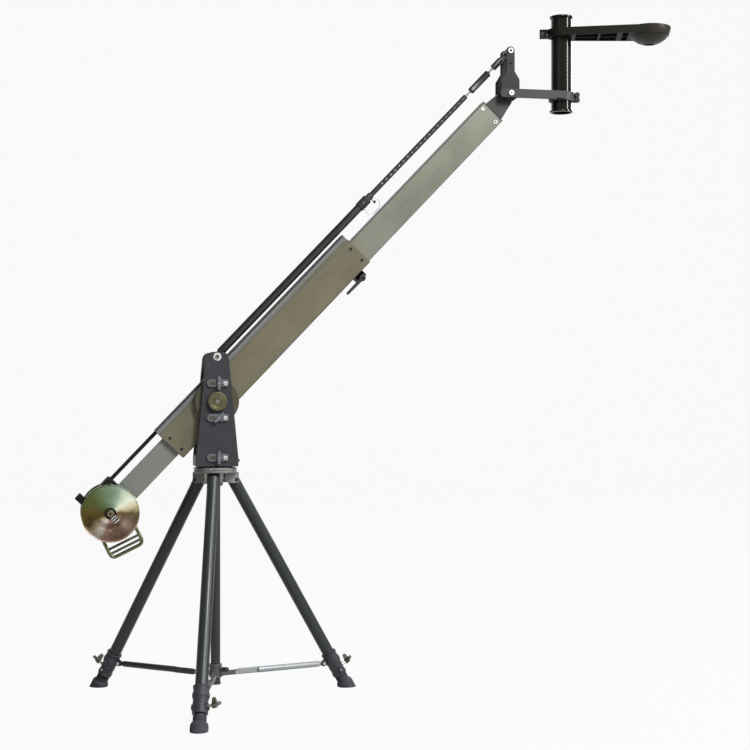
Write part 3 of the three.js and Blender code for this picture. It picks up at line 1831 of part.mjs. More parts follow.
function armKnob() {
  const face = -cameraArm.earHalf - seatGap;
  return join(
    rod('y', cameraArm.knobRadius, face - cameraArm.knobLength, face, fineFacets),
    rod('y', cameraArm.knobStem, face - seatGap, -cameraArm.earSlot, fineFacets),
  );
}

// A levelling bowl: a ball seat open at the top, hung by its flange, with a clearance hole for the tie-down
function cameraBowl() {
  const top = cameraArm.height / 2 + bowl.rimRise;
  const flangeBottom = cameraArm.height / 2 + seatGap;
  const outerBall = bowl.innerBall + bowl.wall;
  const toHole = (ball) => THREE.MathUtils.radToDeg(Math.acos(bowl.holeRadius / ball));
  const inside = quarterEllipse(bowl.innerBall, bowl.innerBall, top, [...seatTurns, toHole(bowl.innerBall)]);
  const outside = quarterEllipse(outerBall, outerBall, flangeBottom, [...seatTurns, toHole(outerBall)]);
  return placed(turned('z', [
    [bowl.flangeRadius, top],
    [bowl.flangeRadius, flangeBottom],
    ...outside,
    ...inside.reverse(),
    [bowl.flangeRadius, top],
  ], wideFacets), cameraArm.bowlX);
}

function buildHead(root) {
  const elevation = toRadians(boomElevation);
  const head = group(
    root,
    boomLength * Math.cos(elevation),
    0,
    pivotHeight + boomLength * Math.sin(elevation),
  );
  piece(head, 'head_plate_right', headSidePlate(-1), 'greyPaint');
  piece(head, 'head_plate_left', headSidePlate(1), 'greyPaint');
  piece(head, 'head_pivot_bolt', headPivotBolt(), 'steel');
  piece(head, 'head_link_bolt', placed(headLinkBolt(), 0, 0, yoke.linkPinRise), 'steel');
  piece(head, 'lower_arm', join(lowerArmSolid(), ...lowerClampNuts()), 'greyPaint');
  piece(head, 'riser_tube', riserTube(), 'blackAnodised');
  const swivel = group(head, lowerArm.riserX, 0, cameraArm.centre);
  swivel.rotation.z = toRadians(cameraArmSwivel);
  piece(swivel, 'camera_arm', cameraArmSolid(), 'blackAnodised');
  piece(swivel, 'camera_bowl', cameraBowl(), 'blackAnodised');
  const knobAt = group(swivel, cameraArm.knobX, 0, -cameraArm.knobDrop);
  piece(knobAt, 'arm_clamp_knob', armKnob(), 'blackPlastic');
}

const crane = new THREE.Group();
buildTripod(crane);
buildYoke(crane);
buildBoom(crane);
buildLink(crane);
buildHead(crane);

export default crane;
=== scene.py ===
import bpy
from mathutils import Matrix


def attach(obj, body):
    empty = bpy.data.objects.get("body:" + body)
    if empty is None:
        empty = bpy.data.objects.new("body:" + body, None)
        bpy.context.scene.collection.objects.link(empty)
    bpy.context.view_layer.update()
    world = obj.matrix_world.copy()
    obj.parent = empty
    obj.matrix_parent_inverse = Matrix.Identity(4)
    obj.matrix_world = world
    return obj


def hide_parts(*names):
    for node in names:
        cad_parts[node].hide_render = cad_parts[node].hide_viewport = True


bl_info = {
    "name": "Camera jib crane",
    "version": (1, 0, 0),
    "blender": (4, 5, 0),
    "location": "View3D > Sidebar > Crane",
    "description": "Builds a camera jib crane on a tripod, with its materials and a small studio",
    "category": "Add Mesh",
}

import math

import bmesh
import bpy
from mathutils import Matrix, Vector

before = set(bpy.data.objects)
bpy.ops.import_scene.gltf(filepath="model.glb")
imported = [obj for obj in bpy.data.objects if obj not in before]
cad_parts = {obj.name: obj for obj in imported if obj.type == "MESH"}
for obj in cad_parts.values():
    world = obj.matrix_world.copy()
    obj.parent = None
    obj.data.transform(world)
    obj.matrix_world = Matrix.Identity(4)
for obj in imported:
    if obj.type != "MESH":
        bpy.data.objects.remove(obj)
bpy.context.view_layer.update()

MM = 0.001
QUARTER = 90.0
SIDES = (-1, 1)

# Angles of the stance, in degrees
ELEVATION = 46.3
SWIVEL = -16
HANDLE_SWING = 26
LEG_AZIMUTHS = {"front": -101.5, "right": 18.5, "left": 138.5}

# Main heights and lengths, in millimetres
PIVOT_Z = 1084.5
LINK_RISE = 160.0
BOOM = 1592.0
BALLAST_X = -549.0
HINGE_R = 70.0
HINGE_Z = 800.0
FOOT_R = 545.0
SPREADER_Z = 96.0
EAR_R = 80.0
LUG_OFFSET = 38.0
RISER_X = 212.5
ARM_RISE = 241.0

# What follows from them: a leg's run out and down for each millimetre of its length, and its lug's place
LEG_LENGTH = math.hypot(FOOT_R - HINGE_R, HINGE_Z)
SPLAY = math.degrees(math.atan2(FOOT_R - HINGE_R, HINGE_Z))
OUT, DOWN = (FOOT_R - HINGE_R) / LEG_LENGTH, HINGE_Z / LEG_LENGTH
LUG_ALONG = (HINGE_Z - SPREADER_Z - LUG_OFFSET * OUT) / DOWN
ARM_LENGTH = HINGE_R + LUG_ALONG * OUT - LUG_OFFSET * DOWN - EAR_R


# Places that pieces are built in: each matrix takes local millimetres to the frame

def spot(x=0.0, y=0.0, z=0.0):
    return Matrix.Translation((x, y, z))


def turn(degrees, axis):
    return Matrix.Rotation(math.radians(degrees), 4, axis)


def polar(radius, degrees):
    """The two steps that a radius takes at an angle."""
    return radius * math.cos(math.radians(degrees)), radius * math.sin(math.radians(degrees))


WORLD = Matrix.Identity(4)
PIVOT_AT = spot(0, 0, PIVOT_Z)
YOKE_PIN_AT = spot(0, 0, PIVOT_Z + LINK_RISE)
BOOM_AT = PIVOT_AT @ turn(-ELEVATION, "Y")
LINK_AT = YOKE_PIN_AT @ turn(-ELEVATION, "Y")
BOOM_RUN, BOOM_CLIMB = polar(BOOM, ELEVATION)
HEAD_AT = spot(BOOM_RUN, 0, PIVOT_Z + BOOM_CLIMB)
SWIVEL_AT = HEAD_AT @ spot(RISER_X, 0, ARM_RISE) @ turn(SWIVEL, "Z")
BALLAST_AT = BOOM_AT @ spot(BALLAST_X, 0, 0)
HANDLE_AT = BALLAST_AT @ turn(ELEVATION - HANDLE_SWING, "Y")


def spoke(name):
    return turn(LEG_AZIMUTHS[name], "Z")


def down_leg(name):
    return spoke(name) @ spot(HINGE_R, 0, HINGE_Z) @ turn(-SPLAY, "Y")


# Properties

def linear(*rgb):
    """A screen colour of 0 to 255 as the linear values that Blender's sockets take."""
    shares = [value / 255 for value in rgb]
    return [share / 12.92 if share <= 0.04045 else ((share + 0.055) / 1.055) ** 2.4 for share in shares]


def colour(name, text, rgb):
    return bpy.props.FloatVectorProperty(
        name=name, description=text, default=linear(*rgb), min=0, max=1, size=3, subtype="COLOR")


class CraneColours(bpy.types.PropertyGroup):
    """Colours of the crane's finishes."""
    casting: colour("Casting", "Dark coat on the castings", (82, 84, 85))
    crown: colour("Crown", "Lighter coat on the tripod crown", (126, 127, 123))
    yoke: colour("Yoke", "Slate coat on the yoke plates", (57, 57, 61))
    leg: colour("Leg", "Anodising on the legs", (46, 49, 51))
    bronze: colour("Bronze", "Anodising on the boom sleeve", (115, 110, 91))
    pale: colour("Pale", "Anodising on the front tube", (129, 129, 117))
    grey: colour("Grey", "Anodising on the rail and rear tube", (128, 131, 124))
    black: colour("Black", "Gloss anodising on link, riser and camera arm", (30, 28, 24))
    paint: colour("Paint", "Coat on the head", (62, 62, 62))
    plastic: colour("Plastic", "Moulded knobs and levers", (44, 44, 44))
    rubber: colour("Rubber", "Feet", (60, 60, 68))
    steel: colour("Steel", "Bolts and struts", (190, 190, 184))
    zinc: colour("Zinc", "Passivated counterweights", (250, 248, 240))
    olive: colour("Olive", "Passivated hand rail", (104, 106, 78))
    floor: colour("Floor", "Studio floor and backdrop", (150, 150, 150))


class CraneShape(bpy.types.PropertyGroup):
    """Mesh fineness of the crane."""
    round_sides: bpy.props.IntProperty(
        name="Round sides", description="Sides of a large round piece", default=64, min=16, max=128)
    small_sides: bpy.props.IntProperty(
        name="Small sides", description="Sides of a bolt or a rod", default=28, min=8, max=64)
    edge: bpy.props.FloatProperty(
        name="Edge", description="Width of the softened edges of the feet", default=0.0008, min=0.0,
        max=0.003, unit="LENGTH")


class CraneCamera(bpy.types.PropertyGroup):
    """The photographer's place."""
    place: bpy.props.FloatVectorProperty(
        name="Place", description="Camera position", default=(-0.5904, -5.8070, 1.107), size=3,
        subtype="TRANSLATION", unit="LENGTH")
    heading: bpy.props.FloatProperty(
        name="Heading", description="Turn of the view from straight along Y", default=math.radians(-11.5),
        subtype="ANGLE")
    lens: bpy.props.FloatProperty(
        name="Lens", description="Focal length in millimetres", default=76.8, min=20, max=200)
    shift: bpy.props.FloatProperty(
        name="Shift", description="Vertical shift that lifts the frame", default=0.0267, min=-0.2, max=0.2)


# Nodes

def new(tree, kind, inputs=None, **values):
    """Add a node, set its own values, and give each input its constant or the socket that feeds it."""
    node = tree.nodes.new("ShaderNode" + kind)
    for key, value in values.items():
        setattr(node, key, value)
    return feed(tree, node, inputs or {})


def feed(tree, node, inputs):
    for key, value in inputs.items():
        if isinstance(value, bpy.types.NodeSocket):
            tree.links.new(value, node.inputs[key])
        else:
            node.inputs[key].default_value = value
    return node


def noise(tree, vector, scale, detail=3.0, roughness=0.6):
    values = {"Vector": vector, "Scale": scale, "Detail": detail, "Roughness": roughness}
    return new(tree, "TexNoise", values).outputs["Fac"]


def stretched(tree, vector, scale):
    return new(tree, "Mapping", {"Vector": vector, "Scale": scale}).outputs["Vector"]


def ranged(tree, value, to_low, to_high, low=0.3, high=0.7):
    """Stretch a value to new ends. A noise mostly stays between 0.3 and 0.7."""
    ends = {"From Min": low, "From Max": high, "To Min": to_low, "To Max": to_high}
    return new(tree, "MapRange", {"Value": value, **ends}).outputs["Result"]


def maths(tree, operation, first, second=0.0):
    return new(tree, "Math", {0: first, 1: second}, operation=operation).outputs["Value"]


def total(tree, first, *others):
    for other in others:
        first = maths(tree, "ADD", first, other)
    return first


def times(tree, first, second):
    return maths(tree, "MULTIPLY", first, second)


def mixed(tree, factor, first, second, blend="MIX"):
    node = new(tree, "Mix", data_type="RGBA", blend_type=blend)
    return feed(tree, node, {0: factor, 6: first, 7: second}).outputs[2]


def shade_by(tree, tint, amount):
    """Multiply a colour by a factor round one."""
    return new(tree, "VectorMath", {0: tint, "Scale": amount}, operation="SCALE").outputs["Vector"]


# Patterns: each takes a vector, a colour and a roughness, and gives a colour, a roughness and a height

def drawn_metal(tree, vector, tint, rough):
    """Anodised metal: fine lines along local X, soft cloudiness and a dulled film."""
    lines = noise(tree, stretched(tree, vector, (6, 420, 420)), 1.0, 4.0)
    hair = noise(tree, stretched(tree, vector, (40, 2600, 2600)), 1.0, 2.0)
    cloud = noise(tree, vector, 5.0, 4.0, 0.55)
    shade = total(tree, ranged(tree, lines, 0.93, 1.05), ranged(tree, cloud, -0.06, 0.06))
    rough = total(tree, rough, ranged(tree, cloud, -0.05, 0.07), ranged(tree, lines, -0.04, 0.04))
    return shade_by(tree, tint, shade), rough, total(tree, lines, times(tree, hair, 0.6))


def sprayed_coat(tree, vector, tint, rough):
    """Sprayed coat: orange peel, fine speckle and faint grime."""
    peel = noise(tree, vector, 900.0, 2.0)
    speck = noise(tree, vector, 2400.0, 1.0)
    grime = noise(tree, vector, 9.0, 5.0, 0.65)
    shade = total(tree, ranged(tree, speck, 0.92, 1.08, 0.35, 0.65), ranged(tree, grime, -0.08, 0.06))
    rough = total(tree, rough, ranged(tree, grime, -0.06, 0.1))
    return shade_by(tree, tint, shade), rough, total(tree, peel, times(tree, speck, 0.4))


def moulded_skin(tree, vector, tint, rough):
    """Moulded plastic or rubber: fine pebble grain with pale handling dust."""
    grain = new(tree, "TexVoronoi", {"Vector": vector, "Scale": 1300.0})
    dust = noise(tree, vector, 30.0, 5.0, 0.7)
    dusty = mixed(tree, ranged(tree, dust, 0.0, 0.18, 0.5, 0.8), tint, (0.25, 0.24, 0.22, 1))
    return dusty, total(tree, rough, ranged(tree, dust, -0.05, 0.1)), grain.outputs["Distance"]


# The fan of tints round a turned and passivated disc: its own gold, rose and green, with painted highlights
# in the pale stops. Degrees from local X, then the tint
FAN_OF_TINTS_AND_HIGHLIGHTS = [
    (-180, (96, 82, 42)), (-158, (116, 98, 60)), (-140, (226, 204, 172)), (-122, (255, 246, 240)),
    (-104, (186, 152, 138)), (-76, (158, 126, 112)), (-58, (150, 124, 112)), (-40, (186, 162, 150)),
    (-18, (136, 114, 100)), (0, (110, 98, 64)), (16, (214, 206, 166)), (36, (250, 255, 242)),
    (50, (214, 226, 204)), (64, (160, 182, 168)), (90, (124, 146, 120)), (120, (100, 116, 80)),
    (148, (84, 94, 56)), (180, (96, 82, 42)),
]


def fan_of_tints_and_highlights(tree, angle):
    """The fan's colour, painted highlights included, at an angle in radians."""
    ramp = new(tree, "ValToRGB", {"Fac": ranged(tree, angle, 0, 1, -math.pi, math.pi)})
    stops = ramp.color_ramp.elements
    for step, (degrees, tint) in enumerate(FAN_OF_TINTS_AND_HIGHLIGHTS):
        place = (degrees + 180) / 360
        stop = stops[step] if step < 2 else stops.new(place)
        stop.position = place
        stop.color = (*linear(*tint), 1)
    return ramp.outputs["Color"]


def turned_plate_with_highlights(tree, vector, tint, rough, strength):
    """Passivated metal, turned: rings about local Y under a fan of gold, rose and green, with painted
    highlights laid by angle.
    """
    split = new(tree, "SeparateXYZ", {0: vector}).outputs
    x, z = split["X"], split["Z"]
    radius = maths(tree, "SQRT", total(tree, times(tree, x, x), times(tree, z, z)))
    drift = ranged(tree, noise(tree, vector, 22.0, 2.0, 0.5), -0.12, 0.12)
    fan = fan_of_tints_and_highlights(tree, total(tree, maths(tree, "ARCTAN2", z, x), drift))
    outwards = new(tree, "CombineXYZ", {0: times(tree, radius, 900.0)}).outputs[0]
    grooves = ranged(tree, noise(tree, outwards, 1.0, 3.0), 0.92, 1.08)
    wobble = noise(tree, stretched(tree, vector, (60, 60, 60)), 1.0, 4.0)
    rings = maths(tree, "SINE", times(tree, radius, 5200.0))
    tint = shade_by(tree, mixed(tree, strength, tint, fan, "MULTIPLY"), grooves)
    return tint, total(tree, rough, ranged(tree, wobble, -0.05, 0.08)), total(tree, rings, wobble)


PATTERNS = {
    "drawn": ("Drawn metal", drawn_metal, {}),
    "coat": ("Sprayed coat", sprayed_coat, {}),
    "moulded": ("Moulded", moulded_skin, {}),
    "plated": ("Passivated turning", turned_plate_with_highlights, {"strength": 1.0}),
    "faint": ("Faint turning", turned_plate_with_highlights, {"strength": 0.4}),
}
groups = {}


def pattern_group(pattern):
    """One of the patterns as a shader group, made when it is first asked for."""
    if pattern in groups:
        return groups[pattern]
    label, draw, more = PATTERNS[pattern]
    group = groups[pattern] = bpy.data.node_groups.new(label, "ShaderNodeTree")
    sockets = (("Vector", "Vector", ("INPUT",)), ("Color", "Color", ("INPUT", "OUTPUT")),
               ("Roughness", "Float", ("INPUT", "OUTPUT")), ("Height", "Float", ("OUTPUT",)))
    for name, kind, ways in sockets:
        for way in ways:
            group.interface.new_socket(name=name, in_out=way, socket_type="NodeSocket" + kind)
    enter = group.nodes.new("NodeGroupInput").outputs
    leave = group.nodes.new("NodeGroupOutput")
    drawn = draw(group, enter["Vector"], enter["Color"], enter["Roughness"], **more)
    feed(group, leave, dict(zip(("Color", "Roughness", "Height"), drawn)))
    return group


# Finishes: pattern, colour, metallic, roughness, bump and what differs from the usual. A colour is one of the
# panel's, a share of one, or a tint of its own
FINE_RELIEF = 0.00006
RECIPES = {
    "casting": ("coat", "casting", 0.15, 0.5, 0.25, {}),
    "crown": ("coat", "crown", 0.3, 0.45, 0.2, {}),
    "yoke": ("coat", "yoke", 0.1, 0.5, 0.3, {"sheen": 0.25}),
    "bronze": ("drawn", "bronze", 0.4, 0.42, 0.12, {"tilt": ELEVATION}),
    "umber": ("drawn", ("bronze", 0.5), 0.3, 0.45, 0.12, {"sheen": 0.25}),
    # turned: a faint fan of tints whose pale stops paint conic highlights, on the pivot knob and the ballast
    # bar
    "turned": ("faint", (112, 108, 80), 0.45, 0.4, 0.06,
               {"origin": (0, 0, PIVOT_Z), "relief": FINE_RELIEF, "sheen": 0.5}),
    "pale": ("drawn", "pale", 0.4, 0.42, 0.1, {"tilt": ELEVATION}),
    "grey": ("drawn", "grey", 0.4, 0.42, 0.1, {"tilt": ELEVATION}),
    "black_link": ("drawn", "black", 0.2, 0.44, 0.08, {"tilt": ELEVATION, "sheen": 0.9}),
    "black_gloss": ("drawn", "black", 0.0, 0.12, 0.03, {"tilt": QUARTER, "sheen": 0.25}),
    "black_arm": ("coat", "black", 0.05, 0.5, 0.08, {"sheen": 0.1}),
    "paint": ("coat", "paint", 0.1, 0.48, 0.2, {}),
    "plastic": ("moulded", "plastic", 0.0, 0.5, 0.2, {}),
    "rubber": ("moulded", "rubber", 0.0, 0.72, 0.35, {"sheen": 0.2}),
    "steel": ("drawn", "steel", 0.9, 0.3, 0.08, {"sheen": 0.5}),
    # zinc: the full fan, the weights' own passivation tints with painted highlights
    "zinc": ("plated", "zinc", 0.92, 0.24, 0.06, {
        "origin": BALLAST_AT.translation, "anisotropic": 0.5, "relief": FINE_RELIEF, "sheen": 0.5}),
    "olive": ("coat", "olive", 0.8, 0.3, 0.1, {"sheen": 0.5}),
    "silver": ("coat", (232, 232, 228), 0.2, 0.4, 0.05, {"sheen": 0.5}),
    "slot": ("coat", (72, 76, 64), 0.2, 0.48, 0.2, {}),
    "latch": ("coat", (102, 104, 108), 0.2, 0.48, 0.2, {}),
    "clamp": ("coat", (56, 57, 62), 0.05, 0.5, 0.25, {}),
    "satin": ("drawn", (150, 154, 156), 0.35, 0.42, 0.08, {"sheen": 0.4, "heading": LEG_AZIMUTHS["right"]}),
    "grip": ("moulded", (88, 85, 75), 0.0, 0.5, 0.2, {"sheen": 0.4}),
    "case": ("coat", "black", 0.05, 0.5, 0.1, {"sheen": 0.15}),
    "plate": ("coat", ("paint", 0.55), 0.1, 0.48, 0.2, {}),
    "shade": ("coat", (30, 30, 28), 0.05, 0.5, 0.2, {"sheen": 0.2}),
    "dome": ("coat", (44, 40, 33), 0.1, 0.42, 0.1, {}),
    "screw": ("coat", (40, 41, 42), 0.6, 0.35, 0.1, {"sheen": 0.5}),
    "dark": ("coat", (28.58, 28.58, 28.58), 0.2, 0.6, 0.1, {"sheen": 0.5}),
    "column": ("drawn", "leg", 0.05, 0.36, 0.08, {"tilt": QUARTER}),
}
for leg, azimuth in LEG_AZIMUTHS.items():
    RECIPES["leg_" + leg] = ("drawn", "leg", 0.05, 0.36, 0.08, {"tilt": SPLAY - QUARTER, "heading": azimuth})
PREFIX = "jib_"
made = {}


def tint_of(choice):
    if isinstance(choice[-1], str):
        return list(getattr(bpy.context.scene.crane_colours, choice))
    if isinstance(choice[0], str):
        return [choice[1] * value for value in tint_of(choice[0])]
    return linear(*choice)


def material(name):
    """One of the crane's finishes, made when it is first asked for."""
    if name not in made:
        pattern, tint, metallic, roughness, bump, more = RECIPES[name]
        made[name] = finish(name, pattern_group(pattern), tint_of(tint), metallic, roughness, bump, **more)
    return made[name]


def finish(name, group, rgb, metallic, roughness, bump, origin=(0, 0, 0), tilt=0.0, heading=0.0,
           sheen=0.3, anisotropic=0.0, relief=0.0004):
    """A material whose pattern is laid from an origin, in millimetres, with its X turned up by tilt."""
    stuff = bpy.data.materials.new(PREFIX + name)
    stuff.use_nodes = True
    tree = stuff.node_tree
    place = new(tree, "Mapping", {
        "Vector": new(tree, "TexCoord").outputs["Object"], "Location": Vector(origin) * MM,
        "Rotation": (0, -math.radians(tilt), math.radians(heading))}, vector_type="TEXTURE")
    pattern = new(tree, "Group", {
        "Vector": place.outputs["Vector"], "Color": (*rgb, 1), "Roughness": roughness},
        node_tree=group).outputs
    bumps = new(tree, "Bump", {"Height": pattern["Height"], "Strength": bump, "Distance": relief})
    feed(tree, tree.nodes["Principled BSDF"], {
        "Base Color": pattern["Color"], "Roughness": pattern["Roughness"], "Normal": bumps.outputs["Normal"],
        "Metallic": metallic, "Anisotropic": anisotropic, "Specular IOR Level": sheen})
    return stuff


# Meshes. A profile is a line of (radius, along) points, an outline a ring of points in a plane

# Each matrix turns a shape built on or along Z so that it lies on another axis or plane
LYING = {
    "z": WORLD,
    "x": Matrix(((0, 0, 1, 0), (1, 0, 0, 0), (0, 1, 0, 0), (0, 0, 0, 1))),
    "y": Matrix(((0, 1, 0, 0), (0, 0, 1, 0), (1, 0, 0, 0), (0, 0, 0, 1))),
    "xy": WORLD,
    "xz": Matrix(((1, 0, 0, 0), (0, 0, 1, 0), (0, 1, 0, 0), (0, 0, 0, 1))),
}
MERGE = 1e-4
FINE_RIM = 0.01
SMALL_RADIUS = 14.0


class Build:
    """Collects closed shells, in millimetres from a place of its own, and turns them into one piece."""

    def __init__(self, first_finish, at=WORLD):
        self.mesh = bmesh.new()
        self.at = at
        self.finishes = []
        self.use(first_finish)

    def use(self, name):
        if name not in self.finishes:
            self.finishes.append(name)
        self.finish = self.finishes.index(name)
        return self

    def join(self, shell, at=WORLD):
        """Put a shell in its place, in the finish in use."""
        for face in shell.faces:
            face.material_index = self.finish
        shell.transform(self.at @ at)
        data = bpy.data.meshes.new("shell")
        shell.to_mesh(data)
        shell.free()
        self.mesh.from_mesh(data)
        bpy.data.meshes.remove(data)
        return self

    def lathe(self, profile, axis="z", at=WORLD, sides=None, closed=False):
        """Spin a profile about an axis. Points on the axis close the ends."""
        sides = sides or bpy.context.scene.crane_shape.round_sides
        shell = bmesh.new()
        half_step = 180 / sides
        line = [shell.verts.new((*polar(radius, half_step), along)) for radius, along in profile]
        pairs = zip(line, line[1:] + line[:1]) if closed else zip(line, line[1:])
        edges = [shell.edges.new(pair) for pair in pairs]
        bmesh.ops.spin(shell, geom=line + edges, cent=(0, 0, 0), axis=(0, 0, 1), angle=math.tau, steps=sides,
                       use_merge=True)
        bmesh.ops.remove_doubles(shell, verts=shell.verts, dist=MERGE)
        return self.join(shell, at @ LYING[axis])

    def rod(self, axis, radius, start, end, at=WORLD, sides=None, rim=0.5):
        """A round bar with softened rims."""
        low, high = sorted((start, end))
        rim = min(rim, radius * 0.4, (high - low) * 0.4)
        shape = bpy.context.scene.crane_shape
        sides = sides or (shape.small_sides if radius < SMALL_RADIUS else shape.round_sides)
        profile = [(0, low), (radius - rim, low), (radius, low + rim), (radius, high - rim),
                   (radius - rim, high), (0, high)]
        return self.lathe(profile, axis, at, sides)

    def pipe(self, axis, radius, inner, start, end, at=WORLD, sides=None, rim=0.5):
        """A round tube with softened rims."""
        low, high = sorted((start, end))
        rim = min(rim, (radius - inner) * 0.4)
        profile = [
            (inner, low + rim), (inner + rim, low), (radius - rim, low), (radius, low + rim),
            (radius, high - rim), (radius - rim, high), (inner + rim, high), (inner, high - rim),
        ]
        return self.lathe(profile, axis, at, sides, closed=True)

    def slab(self, outline, low, high, plane="xz", at=WORLD, rim=0.8, inset=0.0):
        """Extrude an outline, drawn in by an inset, and give both faces a small chamfer."""
        low, high = sorted((low, high))
        shell = bmesh.new()
        floor = shell.faces.new([shell.verts.new((a, b, low + rim)) for a, b in outline])
        if inset:
            floor.normal_update()
            bmesh.ops.inset_individual(shell, faces=[floor], thickness=inset, use_even_offset=True)
            bmesh.ops.delete(shell, geom=[face for face in shell.faces if face != floor], context="FACES")
        raised = bmesh.ops.extrude_face_region(shell, geom=shell.faces[:])["geom"]
        top = [item for item in raised if isinstance(item, bmesh.types.BMVert)]
        bmesh.ops.translate(shell, verts=top, vec=(0, 0, high - low - 2 * rim))
        bmesh.ops.recalc_face_normals(shell, faces=shell.faces)
        if rim:
            caps = [face for face in shell.faces if abs(face.normal.z) > 0.5]
            bmesh.ops.inset_individual(shell, faces=caps, thickness=rim, depth=rim, use_even_offset=True)
        return self.join(shell, at @ LYING[plane])

    def block(self, x, y, z, at=WORLD, rim=0.8, corner=0.0):
        outline = [(x[0], z[0]), (x[1], z[0]), (x[1], z[1]), (x[0], z[1])]
        return self.slab(rounded(outline, corner) if corner else outline, *y, at=at, rim=rim)

    def skin(self, rings, ends=False, at=WORLD):
        """Faces from each ring of points to the next, then back to the first ring or across both ends."""
        shell = bmesh.new()
        rows = [[shell.verts.new(point) for point in ring] for ring in rings]
        for first, second in zip(rows, rows[1:] if ends else rows[1:] + rows[:1]):
            for a, b, c, d in zip(first, first[1:] + first[:1], second[1:] + second[:1], second):
                shell.faces.new((a, b, c, d))
        if ends:
            shell.faces.new(rows[0][::-1])
            shell.faces.new(rows[-1])
        return self.join(shell, at)

    def sweep(self, points, radius, sides):
        """A round rod along a line of points."""
        path = [Vector(point) for point in points]
        side = (path[1] - path[0]).orthogonal()
        rings = []
        for step, point in enumerate(path):
            tangent = (path[min(step + 1, len(path) - 1)] - path[max(step - 1, 0)]).normalized()
            side = (side - tangent * side.dot(tangent)).normalized()
            up = tangent.cross(side)
            turns = [polar(radius, 360 * k / sides) for k in range(sides)]
            rings.append([point + side * a + up * b for a, b in turns])
        return self.skin(rings, ends=True)

    def box_tube(self, start, end, width, height, wall, rise=0.0, corner=3.0, rim=0.5):
        """A rectangular tube along local x with rounded long edges, open at both ends."""
        def loop(x, drawn_in, least):
            w, h = width / 2 - drawn_in, height / 2 - drawn_in
            flat = [(-w, rise - h), (w, rise - h), (w, rise + h), (-w, rise + h)]
            return [(x, y, z) for y, z in rounded(flat, max(corner - drawn_in, least), steps=4)]
        return self.skin([
            loop(start, wall, 0.5), loop(start, rim, 0.4), loop(start + rim, 0, 0), loop(end - rim, 0, 0),
            loop(end, rim, 0.4), loop(end, wall, 0.5)])

    def bolt(self, side, face, radius, height, socket, at=WORLD):
        """A round bolt head standing out at plus or minus y, with a dark hexagon on it: painted shade for its
        socket.
        """
        out = side * (face + height)
        self.rod("y", radius, side * face, out, at, rim=0.9)
        keep = self.finish
        self.use("dark").rod("y", socket, out, out + side * 0.15, at, sides=6, rim=FINE_RIM)
        self.finish = keep
        return self

    def carve(self, cutter):
        """Subtract the cutter's shells."""
        both = []
        for build in (self, cutter):
            bmesh.ops.recalc_face_normals(build.mesh, faces=build.mesh.faces)
            data = bpy.data.meshes.new("carve")
            build.mesh.to_mesh(data)
            for name in build.finishes:
                data.materials.append(material(name))
            both.append(bpy.data.objects.new("carve", data))
            bpy.context.scene.collection.objects.link(both[-1])
        cut = both[0].modifiers.new("cut", "BOOLEAN")
        cut.object = both[1]
        cut.operation = "DIFFERENCE"
        cut.solver = "EXACT"
        cut.use_self = True
        graph = bpy.context.evaluated_depsgraph_get()
        result = bpy.data.meshes.new_from_object(both[0].evaluated_get(graph), depsgraph=graph)
        self.mesh.clear()
        self.mesh.from_mesh(result)
        self.finishes = [item.name.removeprefix(PREFIX) for item in result.materials]
        for data in [item.data for item in both] + [result]:
            bpy.data.meshes.remove(data)
        cutter.mesh.free()
        return self

    def done(self, node, body, slot, soft=False, smooth=35):
        """Make the piece, in metres at the origin, and hang it on its body in place of the CAD node."""
        mesh = self.mesh
        mesh.transform(Matrix.Scale(MM, 4))
        bmesh.ops.remove_doubles(mesh, verts=mesh.verts, dist=MERGE * MM)
        bmesh.ops.recalc_face_normals(mesh, faces=mesh.faces)
        data = bpy.data.meshes.new(node + "_visual")
        mesh.to_mesh(data)
        mesh.free()
        data.shade_smooth()
        data.set_sharp_from_angle(angle=math.radians(smooth))
        piece = bpy.data.objects.new(node + "_visual", data)
        bpy.context.scene.collection.objects.link(piece)
        for name in self.finishes:
            data.materials.append(material(name))
        if soft:
            bevel = piece.modifiers.new("Edges", "BEVEL")
            bevel.width = bpy.context.scene.crane_shape.edge
            bevel.segments = 2
            bevel.limit_method = "ANGLE"
            bevel.angle_limit = math.radians(40)
            bevel.harden_normals = True
        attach(piece, body)
        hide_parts(node)
        return piece


# Outlines

def arc(x, z, radius, start, end, steps=12):
    turns = [polar(radius, start + (end - start) * k / steps) for k in range(steps + 1)]
    return [(x + a, z + b) for a, b in turns]


def rounded(points, radius, steps=6):
    """Round every corner of an outline, or each by its own radius."""
    out = []
    count = len(points)
    radii = radius if isinstance(radius, list) else [radius] * count
    for step, size in enumerate(radii):
        before, here, after = (Vector(points[(step + k) % count]) for k in (-1, 0, 1))
        if size <= 0:
            out.append(tuple(here))
            continue
        inward, outward = (before - here).normalized(), (after - here).normalized()
        reach = size / math.tan(inward.angle(outward) / 2)
        reach = min(reach, (before - here).length * 0.49, (after - here).length * 0.49)
        start, end = here + inward * reach, here + outward * reach
        for share in [k / steps for k in range(steps + 1)]:
            out.append(tuple(start * (1 - share) ** 2 + here * 2 * share * (1 - share) + end * share ** 2))
    return out


def stadium(half_length, half_height, steps=10):
    flat = half_length - half_height
    return arc(flat, 0, half_height, -90, 90, steps) + arc(-flat, 0, half_height, 90, 270, steps)


def mirrored(side, profile):
    """A profile of (radius, reach) points, thrown to the plus or minus side."""
    return [(radius, side * reach) for radius, reach in profile]


# Tripod

# Tubes down a leg: radius, bore, and where they begin and end along it
LEG_TUBE = (22.25, 19.25, -826, 4)
LEG_SOCKET = (22.7, 19.6, -34, 8)
LEG_PLUG = (19.2, -2, 3.5)
LOWER_TUBE = (18.8, 16.3, -889, -440)
CLAMP_KNOB_Z = -846
CLAMP_SCREW_Z = -848
CROWN_FLOOR = 826.5
CHEEK_IN, CHEEK_OUT = 22.7, 32.7


